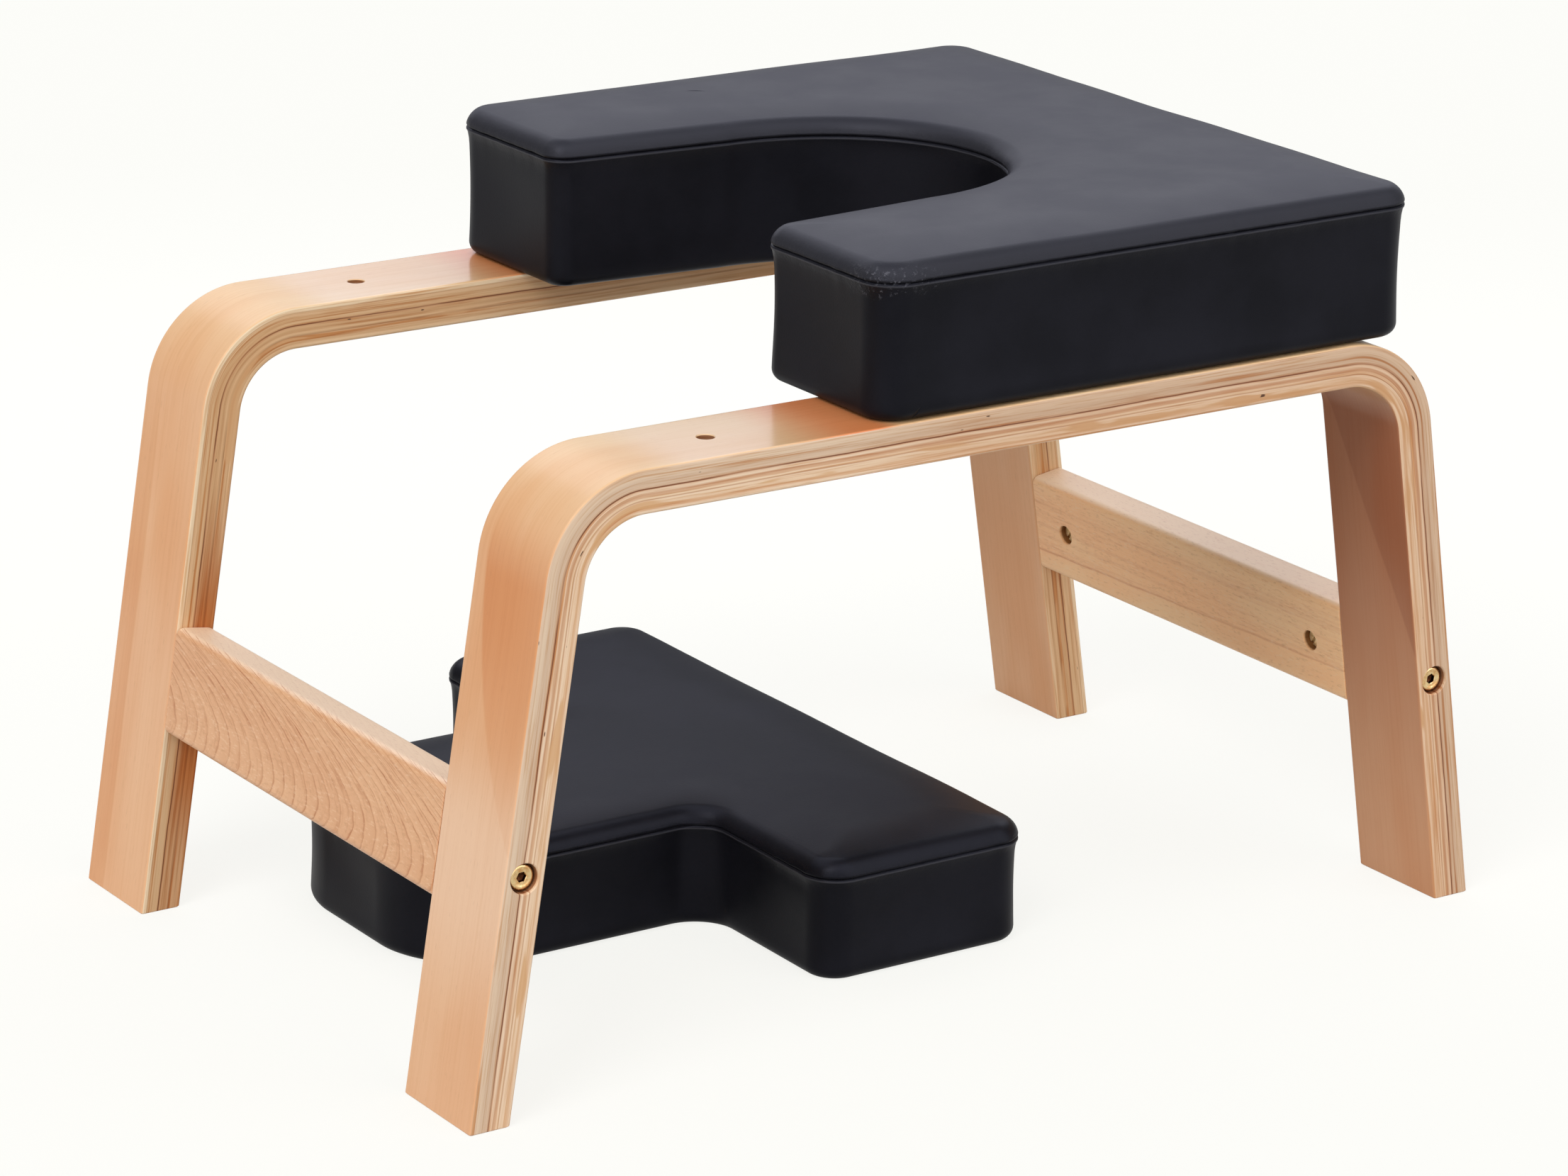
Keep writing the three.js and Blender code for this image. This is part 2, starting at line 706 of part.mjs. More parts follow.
const sides = [[-1, 'near'], [1, 'far']];
const shoulderPlaces = sides.flatMap(([side, sideName]) => padBoltXs.map((x, i) => (
  { x, y: side * frameMiddleY, name: `${i === 0 ? 'front' : 'rear'}_${sideName}` })));
const infillPlaces = sides.map(([side, sideName]) => (
  { x: infillInsertX, y: barMiddleY + side * frameMiddleY, name: sideName }));

const stool = new THREE.Group();
stool.position.y = middleShiftY;
for (const [side, sideName] of sides) {
  stool.add(named(`${sideName}_side_frame`, sideFrame(side), materials.veneer));
}
stool.add(railEnd(-1, 'front'), railEnd(1, 'back'));
stool.add(upholsteredPad('shoulder_pad', shoulderCorners, padBase, padSeamHeight - faceGap, shoulderPlaces));
stool.add(padBolts(shoulderPlaces));
stool.add(upholsteredPad('infill_pad', infillCorners, 0, infillSeamHeight, infillPlaces));

export default stool;
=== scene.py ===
"""Dresses the headstand stool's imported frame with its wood, brass and upholstery.

Metres, +Z up. +X runs along the side frames and the shoulder pad opens towards -X.
+Y runs across the stool, from the near frame to the far frame.
"""

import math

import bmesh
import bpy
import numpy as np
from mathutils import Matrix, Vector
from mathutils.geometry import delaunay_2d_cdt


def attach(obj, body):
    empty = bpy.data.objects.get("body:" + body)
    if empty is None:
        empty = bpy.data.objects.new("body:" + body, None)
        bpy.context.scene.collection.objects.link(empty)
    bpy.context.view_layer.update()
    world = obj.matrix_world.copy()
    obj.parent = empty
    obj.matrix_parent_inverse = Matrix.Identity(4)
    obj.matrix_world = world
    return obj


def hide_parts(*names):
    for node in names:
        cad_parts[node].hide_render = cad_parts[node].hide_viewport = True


bl_info = {
    "name": "Headstand stool",
    "version": (1, 0, 0),
    "blender": (4, 5, 0),
    "location": "3D View > Sidebar > Stool",
    "description": "Builds the wood, brass and cushions of a headstand stool round its frame",
    "category": "Object",
}

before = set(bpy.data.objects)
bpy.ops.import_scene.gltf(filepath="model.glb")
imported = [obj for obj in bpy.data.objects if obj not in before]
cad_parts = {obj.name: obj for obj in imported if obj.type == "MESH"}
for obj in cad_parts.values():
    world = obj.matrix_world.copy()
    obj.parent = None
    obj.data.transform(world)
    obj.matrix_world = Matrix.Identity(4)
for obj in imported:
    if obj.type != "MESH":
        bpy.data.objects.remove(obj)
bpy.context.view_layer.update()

MM = 0.001

# Where the stool's own middle plane lies in the row's frame.
MIDDLE_Y = -26 * MM
SIDES = ((-1, "near"), (1, "far"))
ENDS = ((-1, "front"), (1, "back"))

# Side frames.
SPLAY = math.radians(8.9)
FOOT_HALF = 292.5 * MM
FRAME_TOP = 299 * MM
STRIP_WIDTH = 59 * MM
PLY = 21 * MM
OUTER_BEND = 53 * MM
FRAME_Y = 160.5 * MM
BEND_Z = FRAME_TOP - OUTER_BEND
BEND_X = FOOT_HALF - math.tan(SPLAY) * BEND_Z - OUTER_BEND / math.cos(SPLAY)
FIXING_X = -150.668 * MM
FIXING_HOLE = 4.25 * MM

# Rails, their bolts, barrel nuts and dowels.
RAIL_HALF = 130.7 * MM
RAIL_HEIGHT = 54 * MM
RAIL_THICKNESS = 21 * MM
RAIL_Z = 118 * MM
RAIL_X = FOOT_HALF - math.tan(SPLAY) * RAIL_Z - RAIL_THICKNESS / 2 / math.cos(SPLAY)
BOLT_SEAT = 183.8 * MM
BOLT_SINK = 6.5 * MM
BOLT_LENGTH = 86 * MM
BOLT_SHANK = 3 * MM
BOLT_HOLE = 3.5 * MM
BOLT_HOLE_FLOOR = -34 * MM
BOLT_MOUTH = 7.3 * MM
HEAD_RADIUS = 6.4 * MM
HEAD_HEIGHT = 3.6 * MM
SOCKET_FLATS = 4.4 * MM
NUT_Y = 104.5 * MM
NUT_RADIUS = 5 * MM
NUT_HALF = 7 * MM
NUT_HOLE = 5.3 * MM
NUT_HOLE_FLOOR = -7.3 * MM
NUT_BORE = 3.3 * MM
SLOT_HALF = np.array((3.0, 10.0, 0.8)) * MM
SLOT_OFFSET = 8.5 * MM
SLOT_SLANT = math.radians(50)
DOWEL_SPREAD = 17 * MM
DOWEL_HOLE = 4.3 * MM
DOWEL_DEPTH = 15 * MM
GAP = 0.3 * MM

# How far a cutter runs past the face that it opens.
CUT_PAST = 3 * MM

# Shoulder pad.
PAD_BASE = 299.3 * MM
PAD_FRONT = -76.668 * MM
PAD_REAR = 237.332 * MM
PAD_HALF = 191 * MM
PAD_SEAM = 65.7 * MM
THROAT_X = 20.331 * MM
THROAT_DEPTH = 93 * MM
THROAT_HALF = 84 * MM
MOUTH_HALF = 92 * MM
PAD_CORNER = 18 * MM
MOUTH_CORNER = 13 * MM
PAD_BOLTS_X = (-34.668 * MM, 175.332 * MM)

# Infill pad.
BAR_FRONT = -58.244 * MM
BAR_REAR = 64.756 * MM
BAR_HALF = 185 * MM
BAR_Y = 58 * MM
STEM_TIP = -216.244 * MM
STEM_HALF = 81 * MM
STEM_ROUND = 55 * MM
INFILL_CORNER = 18 * MM
INFILL_SEAM = 53 * MM

# The covers' section, the same on both pads.
ROLL_REACH = 7.5 * MM
ROLL_HEIGHT = 7.5 * MM
DOME_REACH = 38 * MM
DOME_HEIGHT = 4.5 * MM
BAND_INSET = 1.2 * MM
BAND_DRAW = 0.8 * MM
BAND_PULL = 1.0 * MM
BAND_ROLL = 9 * MM
BOTTOM_ROUND = 6 * MM
COVER_WRAP = 18 * MM
COVER = 1.2 * MM
BOARD_POCKET = 10.7 * MM
POCKET_ROOF = 15.4 * MM
LEAST_CORNER = 4 * MM

# The covers' wandering dents, and the corners' spacing of points along an arc.
DENT_WAVES = (200 * MM, 70 * MM)
DENT_HEIGHT = 0.30
CORNER_ARC = 30 * MM
STEM_ARC = 85 * MM
THROAT_ARC = 280 * MM

# The floor, and the photograph's camera.
FLOOR_REACH = 40.0
CAMERA_PLACE = (-1.4231, -2.1489, 0.9828)
CAMERA_YAW, CAMERA_PITCH, CAMERA_ROLL = (math.radians(turn) for turn in (33.85, 17.89, 0.83))
SENSOR_WIDTH = 36
FOCAL_SHARE = 7625.9 / 2212


def srgb(red, green, blue):
    """The linear colour of a screen colour: below 0.04 it is c / 12.92, above it is
    ((c + 0.055) / 1.055) ** 2.4."""
    share = np.array((red, green, blue)) / 255
    linear = np.where(share <= 0.04045, share / 12.92, ((share + 0.055) / 1.055) ** 2.4)
    return tuple(float(value) for value in linear)


# Shapes.


def ring_faces(rings, count):
    """Four-sided faces between neighbouring rings of count points, closed round each ring."""
    low = np.arange(rings - 1)[:, None] * count
    here = np.arange(count)[None, :]
    after = (here + 1) % count
    corners = [low + here, low + after, low + count + after, low + count + here]
    return np.stack(corners, axis=-1).reshape(-1, 4)


def capped_skin(rings):
    """A closed skin over an array of rings: the faces between them, and one face over each end."""
    count = rings.shape[1]
    last = (len(rings) - 1) * count
    faces = ring_faces(len(rings), count).tolist()
    faces.append(list(range(count))[::-1])
    faces.append(list(range(last, last + count)))
    return rings.reshape(-1, 3), faces


def turned(profile, centre, axis, sides=48):
    """A turned solid: each (radius, height) of the profile swept once round the axis, as
    centre + height * axis + radius * (cos(t) * across + sin(t) * over). A radius is one
    number, or one for each side."""
    axis = np.array(axis, dtype=float)
    across = np.cross(axis, (0.31, 0.0, 0.95) if abs(axis[1]) > 0.5 else (0.0, 1.0, 0.0))
    across /= np.linalg.norm(across)
    over = np.cross(axis, across)
    angle = np.linspace(0, 2 * np.pi, sides, endpoint=False)[:, None]
    round_it = np.cos(angle) * across + np.sin(angle) * over
    radii = np.array([np.broadcast_to(radius, sides) for radius, _ in profile])
    heights = np.array([height for _, height in profile])
    points = np.array(centre) + heights[:, None, None] * axis + radii[:, :, None] * round_it
    return points.reshape(-1, 3), ring_faces(len(profile), sides).tolist()


def rounded_section(width, height, radius, steps=4, support=0.5 * MM):
    """A rounded rectangle about zero, anticlockwise: four quarter circles, each with one
    more point just past both its ends so that the flats between them shade flat."""
    corners = []
    for quarter, (across, up) in enumerate(((1, 1), (-1, 1), (-1, -1), (1, -1))):
        centre = np.array((across * (width / 2 - radius), up * (height / 2 - radius)))
        angle = (quarter + np.linspace(0, 1, steps + 1)) * np.pi / 2
        arc = centre + radius * np.stack([np.cos(angle), np.sin(angle)], axis=-1)
        ahead = np.stack([-np.sin(angle), np.cos(angle)], axis=-1)
        corners += [arc[:1] - support * ahead[:1], arc, arc[-1:] + support * ahead[-1:]]
    return np.concatenate(corners)


def joined(*solids):
    """Several (points, faces) solids as one."""
    points, faces, start = [], [], 0
    for solid_points, solid_faces in solids:
        points.append(solid_points)
        faces += [[start + corner for corner in face] for face in solid_faces]
        start += len(solid_points)
    return np.concatenate(points), faces


def make_object(name, solid):
    """A mesh object at the origin from (points, faces), welded, with its faces outwards."""
    points, faces = solid
    mesh = bpy.data.meshes.new(name)
    mesh.from_pydata(np.asarray(points).tolist(), [], faces)
    edit = bmesh.new()
    edit.from_mesh(mesh)
    bmesh.ops.remove_doubles(edit, verts=edit.verts, dist=0.002 * MM)
    bmesh.ops.recalc_face_normals(edit, faces=edit.faces)
    edit.to_mesh(mesh)
    edit.free()
    made = bpy.data.objects.new(name, mesh)
    bpy.context.scene.collection.objects.link(made)
    return made


def carve(made, solid):
    """Takes a solid out of a piece for good."""
    cutter = make_object("carver", solid)
    step = made.modifiers.new("carve", "BOOLEAN")
    step.operation = "DIFFERENCE"
    step.solver = "EXACT"
    step.object = cutter
    made.data = bpy.data.meshes.new_from_object(
        made.evaluated_get(bpy.context.evaluated_depsgraph_get()))
    made.modifiers.clear()
    bpy.data.objects.remove(cutter)


def dress(made, material, body, replaced, sharp=35):
    """Shades a piece, gives it its material, says what it rides on, and hides the frame's parts that it
    takes the place of.
    """
    mesh = made.data
    mesh.materials.clear()
    mesh.materials.append(material)
    mesh.shade_smooth()
    mesh.set_sharp_from_angle(angle=math.radians(sharp))
    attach(made, body)
    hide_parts(*replaced)


def plug(radius, start, end):
    """The profile of a plain round cutter."""
    return (0, start), (radius, start), (radius, end), (0, end)


def hole_mouth(radius, ease, level=0.0):
    """A cutter's profile at the face that it opens: wide past it, with an eased rim."""
    wide, past = radius + ease, level + CUT_PAST
    return (0, past), (wide + CUT_PAST, past), (wide, level), (radius, level - ease)


# Materials.


class Value:
    """A node's output. Sums, products and comparisons of it make Math nodes."""

    def __init__(self, recipe, socket):
        self.recipe, self.socket = recipe, socket

    def __add__(self, other):
        return self.recipe.math("ADD", self, other)

    def __sub__(self, other):
        return self.recipe.math("SUBTRACT", self, other)

    def __rsub__(self, other):
        return self.recipe.math("SUBTRACT", other, self)

    def __mul__(self, other):
        return self.recipe.math("MULTIPLY", self, other)

    def __truediv__(self, other):
        return self.recipe.math("DIVIDE", self, other)

    def __lt__(self, other):
        return self.recipe.math("LESS_THAN", self, other)

    def __gt__(self, other):
        return self.recipe.math("GREATER_THAN", self, other)

    def __abs__(self):
        return self.recipe.math("ABSOLUTE", self)

    def span(self, low, high, to_low=0.0, to_high=1.0, smooth=True):
        """Its place between low and high, held to its ends."""
        inputs = dict(enumerate((self, low, high, to_low, to_high)))
        kind = "SMOOTHSTEP" if smooth else "LINEAR"
        return self.recipe.node("MapRange", inputs, interpolation_type=kind)

    def toward(self, share, colour):
        """This colour mixed with another, as far as the share says."""
        return self.recipe.mix(share, self, colour)

    def tinted(self, share, tint):
        """This colour multiplied by a screen colour, as far as the share says."""
        return self.toward(share, self.recipe.mix(1.0, self, srgb(*tint), "MULTIPLY"))


class Recipe:
    """The nodes of one material or sky, with a short call for each kind."""

    def __init__(self, name, kind="materials"):
        self.owner = getattr(bpy.data, kind).new(name)
        self.owner.use_nodes = True
        self.tree = self.owner.node_tree
        self.place = self.node("TexCoord", output="Object")

    def make(self, kind, inputs=None, **settings):
        made = self.tree.nodes.new("ShaderNode" + kind)
        for key, value in settings.items():
            setattr(made, key, value)
        for key, value in (inputs or {}).items():
            self.feed(made.inputs[key], value)
        return made

    def node(self, kind, inputs=None, output=0, **settings):
        return Value(self, self.make(kind, inputs, **settings).outputs[output])

    def feed(self, socket, value):
        if isinstance(value, Value):
            self.tree.links.new(value.socket, socket)
        elif socket.type == "RGBA" and len(value) == 3:
            socket.default_value = (*value, 1.0)
        else:
            socket.default_value = value

    def math(self, operation, *values):
        return self.node("Math", dict(enumerate(values)), operation=operation)

    def split(self, vector):
        return [Value(self, part) for part in self.make("SeparateXYZ", {0: vector}).outputs]

    def noise(self, place, detail=2.0, roughness=0.5, scale=1.0):
        """Noise at a place, which may be given as its three parts."""
        if isinstance(place, tuple):
            place = self.node("CombineXYZ", dict(enumerate(place)))
        inputs = {"Vector": place, "Scale": scale, "Detail": detail, "Roughness": roughness}
        return self.node("TexNoise", inputs)

    def ramp(self, value, stops):
        """A colour for each value, from (value, red, green, blue) stops."""
        made = self.make("ValToRGB", {0: value})
        elements = made.color_ramp.elements
        while len(elements) < len(stops):
            elements.new(0.5)
        for element, (at, *colour) in zip(elements, stops):
            element.position = at
            element.color = (*srgb(*colour), 1.0)
        return Value(self, made.outputs[0])

    def mix(self, share, first, second, kind="MIX"):
        inputs = {0: share, 6: first, 7: second}
        return self.node("Mix", inputs, 2, data_type="RGBA", blend_type=kind, clamp_factor=True)

    def bump(self, height, distance, strength=1.0, below=None):
        inputs = {"Height": height, "Distance": distance, "Strength": strength}
        if below:
            inputs["Normal"] = below
        return self.node("Bump", inputs)

    def finish(self, **sockets):
        shader = self.tree.nodes["Principled BSDF"]
        for key, value in sockets.items():
            self.feed(shader.inputs[key.replace("_", " ")], value)
        return self.owner


def strip_coordinates(recipe):
    """Where a point lies in the bent strip: its length from the middle of the top, its
    place across the strip, and its depth under the outer face. In the bend the length is
    the angle from upright times the strip's middle radius."""
    x, y, z = recipe.split(recipe.place)
    dx, dz = abs(x) - BEND_X, z - BEND_Z
    angle = recipe.math("MAXIMUM", recipe.math("ARCTAN2", dz, dx), SPLAY)
    angle = recipe.math("MINIMUM", angle, math.pi / 2)
    cos, sin = recipe.math("COSINE", angle), recipe.math("SINE", angle)
    depth = OUTER_BEND - (dx * cos + dz * sin)
    down = dx * sin - dz * cos
    bent = (math.pi / 2 - angle) * (OUTER_BEND - PLY / 2)
    return recipe.math("SIGN", x) * (down + bent + BEND_X), y, depth


NEAR_PLIES = (
    (0.00, 226, 196, 168), (0.15, 230, 204, 176), (0.30, 216, 186, 158), (0.42, 226, 198, 170),
    (0.46, 244, 218, 190), (0.51, 240, 212, 182), (0.55, 212, 166, 130), (0.61, 222, 180, 144),
    (0.64, 244, 218, 186), (0.66, 236, 204, 170), (0.68, 204, 156, 120), (0.70, 242, 214, 184),
    (0.82, 238, 206, 172), (0.87, 226, 182, 142), (0.93, 244, 216, 186), (1.00, 240, 210, 178))
FAR_PLIES = (
    (0.00, 246, 222, 188), (0.12, 244, 218, 182), (0.14, 206, 162, 120), (0.16, 228, 190, 148),
    (0.30, 220, 180, 136), (0.42, 228, 190, 146), (0.46, 224, 184, 140), (0.56, 208, 162, 116),
    (0.64, 226, 186, 142), (0.70, 188, 142, 100), (0.72, 226, 186, 142), (0.86, 218, 176, 132),
    (0.90, 234, 198, 156), (1.00, 234, 200, 160))


def ply_edges(recipe, length, along, across, depth, seed, is_far):
    """The plies on a strip's edges, through its depth. Each wanders a little, long fibres
    streak it, one thin dark glue line breaks up along it, and a few small knots dot it."""
    wander = (recipe.noise((along * 7, seed, across * 4), 3) - 0.5) * (2.2 * MM)
    level = (depth + wander) / PLY
    plies = recipe.mix(is_far, recipe.ramp(level, NEAR_PLIES), recipe.ramp(level, FAR_PLIES))
    fibres = recipe.noise((along * 22, across * 60, depth * 1100), 4, 0.6)
    plies = plies.tinted(fibres.span(0.44, 0.70), (234, 212, 190))
    streaks = recipe.noise((along * 5, seed, depth * 420), 3).span(0.55, 0.66)
    plies = plies.tinted(streaks, (230, 196, 162))
    patches = recipe.noise((along * 16, seed, depth * 150)).span(0.56, 0.62)
    plies = plies.toward(patches * level.span(0.55, 0.72) * 0.8, srgb(218, 170, 122))

    # The near frame's are painted a little darker, as shade under the pad, and the darkening runs on down
    # the back leg; the far frame's are darker and browner round the front rail.
    plies = plies.tinted(length.span(-0.10, -0.02) * (1.0 - is_far), (242, 234, 228))
    brown = length.span(-0.29, -0.37) * length.span(-0.44, -0.50, 1.0, 0.3)
    plies = plies.tinted(brown * level.span(0.30, 0.62) * is_far, (214, 162, 118))

    # The glue line breaks up and wanders by itself.
    stray = recipe.noise((along * 26, seed, 2.0)) - 0.5
    from_line = abs(level + stray * 0.05 - 0.435)
    broken = recipe.noise((along * 17, seed, 6.0), 3).span(0.34, 0.52, 0.3, 0.95)
    plies = plies.toward(from_line.span(0.008, 0.020, 1.0, 0.0) * broken, srgb(128, 80, 50))
    plies = plies.tinted(from_line.span(0.0, 0.065, 1.0, 0.0) * 0.6, (214, 166, 124))
    specks = recipe.noise((along * 120, across * 40, depth * 420), 1).span(0.785, 0.82)
    return plies.toward(specks, srgb(92, 60, 40)), level, fibres


def plywood(settings):
    """Bent beech plywood: smooth veneer on the broad faces, its plies on the edges."""
    recipe = Recipe("bent_plywood")
    length, across, depth = strip_coordinates(recipe)
    is_far = across > MIDDLE_Y
    is_near = 1.0 - is_far
    seed = is_far * 3.7
    along = length + seed
    beside = across - is_far.span(0.0, 1.0, MIDDLE_Y - FRAME_Y, MIDDLE_Y + FRAME_Y, False)
    plies, level, fibres = ply_edges(recipe, length, along, across, depth, seed, is_far)

    # The veneer: pale along the top and warmer down the legs, with faint cloudy figure. Beside the shoulder
    # pad it is painted orange, as the pad's shade with its warm bounce, and it is pale on the near frame's
    # front leg.
    down = abs(length)
    front = length * -1.0
    face = recipe.mix(
        down.span(0.19, 0.265), tuple(settings.top_colour), tuple(settings.veneer_colour))
    painted_pad_shade = front.span(0.060, 0.075) * (front + is_far * 0.022).span(0.085, 0.130, 1.0, 0.0)
    face = face.toward(painted_pad_shade, srgb(240, 154, 98))
    clouds = recipe.noise((along * 7, across * 26, seed)).span(0.35, 0.68)
    face = face.tinted(clouds, (248, 234, 220))
    pale = front.span(0.33, 0.39) * front.span(0.41, 0.48, 1.0, 0.25)
    pale = pale * is_near.span(0.0, 1.0, 0.3, 0.9, False)
    face = face.toward(pale, srgb(242, 202, 168))

    # Tongues of darker wood cross it, each with one clear edge.
    sway = (recipe.noise((along * 9, seed, 0.5)) - 0.5) * (5 * MM)
    past = recipe.math("MAXIMUM", front - 0.262, 0.0)
    reach = beside + sway + past * past * 3.2
    tongue = reach.span(19.5 * MM, 22 * MM, 1.0, 0.0) * reach.span(-60 * MM, 4 * MM, 0.45, 1.0)
    tongue = tongue * front.span(0.240, 0.270) * front.span(0.28, 0.375, 1.0, 0.15) * is_near
    face = face.toward(tongue, tuple(settings.tongue_colour))
    far_tongue = (beside + sway).span(12 * MM, 13.5 * MM) * front.span(0.23, 0.30) * is_far
    face = face.tinted(far_tongue * 0.5, (240, 216, 190))
    # The near back leg's inner face is painted darker, most of all near its top: a darker veneer, with
    # painted shade under the pad there.
    on_back = length.span(0.20, 0.26) * (level > 0.6) * is_near
    face = face.tinted(on_back * length.span(0.30, 0.50, 1.0, 0.5), (190, 166, 160))
    reach = beside + sway + (length - 0.313) * 0.42
    face = face.tinted(reach.span(-1 * MM, 1 * MM, 1.0, 0.0) * on_back, (238, 230, 228))

    grain = recipe.noise((along * 9, across * 600, seed), 3, 0.6)
    face = face.tinted(grain.span(0.40, 0.75), (251, 247, 243))
    pores = recipe.noise((along * 170, across * 1500, seed), 0).span(0.72, 0.80)
    face = face.toward(pores * 0.15, srgb(176, 120, 82))

    # The walls of the holes are painted darker than the edges, as shade inside them.
    deep = depth / PLY
    on_edge = deep.span(0.022, 0.030) * deep.span(0.974, 0.982, 1.0, 0.0)
    painted_hole_shade = abs(beside) < STRIP_WIDTH / 2 - 1.5 * MM
    colour = face.toward(on_edge, plies.tinted(painted_hole_shade * 0.9, (168, 124, 92)))
    lacquer = on_edge.span(0.0, 1.0, 1.0, 0.2, False) * down.span(0.17, 0.20, 1.0, 0.25)
    return recipe.finish(
        Base_Color=colour, Roughness=0.5, Normal=recipe.bump(fibres, 0.04 * MM, 0.4),
        Specular_IOR_Level=0.2, Coat_Weight=lacquer, Coat_Roughness=0.18)


def front_figure(settings, recipe, x, y, up, inwards, wander):
    """The front rail's figure. Its rings arc over, at u + 0.045 (v - 10 mm) ** 2 + 3 w,
    where u runs along the rail, v up its face and w into it."""
    over = up - 10 * MM
    jitter = recipe.noise((y * 160, up * 160, 0.0)) - 0.5
    place = (RAIL_HALF - y) + over * over * (0.045 / MM) + inwards * 3
    place = place + wander * (10 * MM) + jitter * (2.5 * MM)
    ring = recipe.math("FRACT", place / settings.ring_spacing)
    late = ring.span(0.15, 0.95, smooth=False)
    line = ring.span(0.80, 0.95) * ring.span(0.95, 1.0, 1.0, 0.0)
    strength = recipe.noise((place * 60, up * 60, 4.0)).span(0.35, 0.60, 0.35, 1.0)
    # Short dashes lie along the rings, thickest high up the face and towards each line.
    dashes = recipe.noise((place * 420, over * 90, x * 300), 3, 0.65).span(0.52, 0.66)
    thick = up.span(12 * MM, 40 * MM, 0.12, 0.42) + late * 0.15
    share = line * strength * 0.48 + late * 0.14 + dashes * thick
    return share * inwards.span(1.5 * MM, 5 * MM, 1.0, 0.15)


def back_figure(recipe, x, y, z, up, wander):
    """The back rail's figure: nearly straight streaks above a fine line, and a plain band
    under it."""
    stripes = recipe.noise((y * 5, x * 60, z * 420), 3, 0.55).span(0.42, 0.72)
    split = up + y * 0.02 + wander * (2.5 * MM)
    upper = split.span(14 * MM, 15 * MM)
    line = upper * split.span(14.6 * MM, 16.5 * MM, 1.0, 0.0)
    dashes = recipe.noise((y * 90, x * 300, z * 800), 2, 0.6).span(0.56, 0.70)
    share = stripes * (upper * 0.17 + 0.05) + upper * 0.03 + line * 0.38 + dashes * upper * 0.22
    return share * up.span(RAIL_HEIGHT - 3 * MM, RAIL_HEIGHT - 0.5 * MM, 1.0, 0.3)


def beech(settings, name, end):
    """Solid beech in a rail's own frame: Y along the rail and Z up its tilted face."""
    recipe = Recipe(name)
    x, y, z = recipe.split(recipe.node("Mapping", {
        "Vector": recipe.place, "Location": (end * RAIL_X, MIDDLE_Y, RAIL_Z),
        "Rotation": (0.0, -end * SPLAY, 0.0)}, vector_type="TEXTURE"))
    up = z + RAIL_HEIGHT / 2
    inwards = x * -end + RAIL_THICKNESS / 2
    wander = recipe.noise((y * 26, z * 40, x * 40)) - 0.5
    if end < 0:
        share = front_figure(settings, recipe, x, y, up, inwards, wander)
        tones = (tuple(settings.light_colour), srgb(228, 174, 130), tuple(settings.ring_colour))
    else:
        share = back_figure(recipe, x, y, z, up, wander)
        # The back rail's beech is lighter and warmer: partly its own tone, partly painted light on the face
        # that the pad shades.
        tones = (srgb(255, 210, 158), srgb(255, 199, 145), srgb(206, 118, 74))
    tone = recipe.noise((y * 9, x * 30, z * 30)).span(0.35, 0.65)
    # The top face and its rounded edges are painted paler, as light falling on them.
    crown = up.span(RAIL_HEIGHT - 2 * MM, RAIL_HEIGHT, 0.0, 0.9)
    light = recipe.mix(tone, *tones[:2]).toward(crown, srgb(255, 226, 194))
    colour = light.toward(recipe.math("MINIMUM", share, 1.0), tones[2])
    flecks = recipe.noise((y * 260, x * 1000, z * 1000), 2, 0.6)
    colour = colour.toward(flecks.span(0.56, 0.70) * 0.25, srgb(184, 126, 84))
    colour = colour.toward(flecks.span(0.30, 0.44, 1.0, 0.0) * 0.3, srgb(252, 220, 184))

    # The walls of the barrel nuts' holes are in shade.
    painted_hole_shade = inwards.span(0.6 * MM, 1.6 * MM) * inwards.span(19 * MM, 20.4 * MM, 1.0, 0.0)
    painted_hole_shade = painted_hole_shade * (abs(z) < 6 * MM) * (abs(y) < RAIL_HALF - 15 * MM)
    colour = colour.tinted(painted_hole_shade, (136, 112, 80))
    return recipe.finish(
        Base_Color=colour, Roughness=0.5, Normal=recipe.bump(flecks, 0.04 * MM, 0.5),
        Specular_IOR_Level=0.25, Coat_Weight=0.35, Coat_Roughness=0.3)


def dowel_wood():
    """Bare beech with fine fibres along Y."""
    recipe = Recipe("dowel_beech")
    x, y, z = recipe.split(recipe.place)
    fibres = recipe.noise((x * 700, y * 10.9375, z * 700), 3, 0.6)
    colour = recipe.mix(fibres.span(0.3, 0.7), srgb(220, 184, 138), srgb(188, 144, 98))
    return recipe.finish(Base_Color=colour, Roughness=0.7, Normal=recipe.bump(fibres, 0.06 * MM, 0.6))


def board_plywood():
    """The pads' boards: level plies 1.5 mm thick, and fibres on their faces."""
    recipe = Recipe("pad_board_plywood")
    x, y, z = recipe.split(recipe.place)
    ply = recipe.math("FRACT", z / (3 * MM)).span(0.45, 0.55)
    fibres = recipe.noise((x * 40, y * 600, z * 900), 3, 0.6)
    colour = recipe.mix(ply, srgb(206, 172, 124), srgb(176, 132, 88))
    colour = colour.toward(fibres * 0.5, srgb(160, 120, 80))
    return recipe.finish(Base_Color=colour, Roughness=0.75, Normal=recipe.bump(fibres, 0.05 * MM, 0.6))


def metal(name, colour, roughness, worn, shade_below=None, metallic=1.0):
    """Turned metal: fine brushing and a slight change of tone, from noise on its place. Below a given
    distance from the middle plane it is painted darker, as shade in the sockets and down the rims."""
    recipe = Recipe(name)
    tone = recipe.noise(recipe.place, 3, 0.6, 300)
    brushing = recipe.noise(recipe.place, 2, 0.7, 2600)
    shade = recipe.mix(tone.span(0.35, 0.70), colour, worn)
    if shade_below:
        out = abs(recipe.split(recipe.place)[1] - MIDDLE_Y)
        shade = shade.toward(out.span(shade_below - 0.6 * MM, shade_below, 1.0, 0.0), srgb(66, 36, 20))
    return recipe.finish(
        Base_Color=shade, Metallic=metallic,
        Roughness=tone.span(0.3, 0.7, roughness - 0.06, roughness + 0.10),
        Normal=recipe.bump(brushing, 0.01 * MM, 0.35))


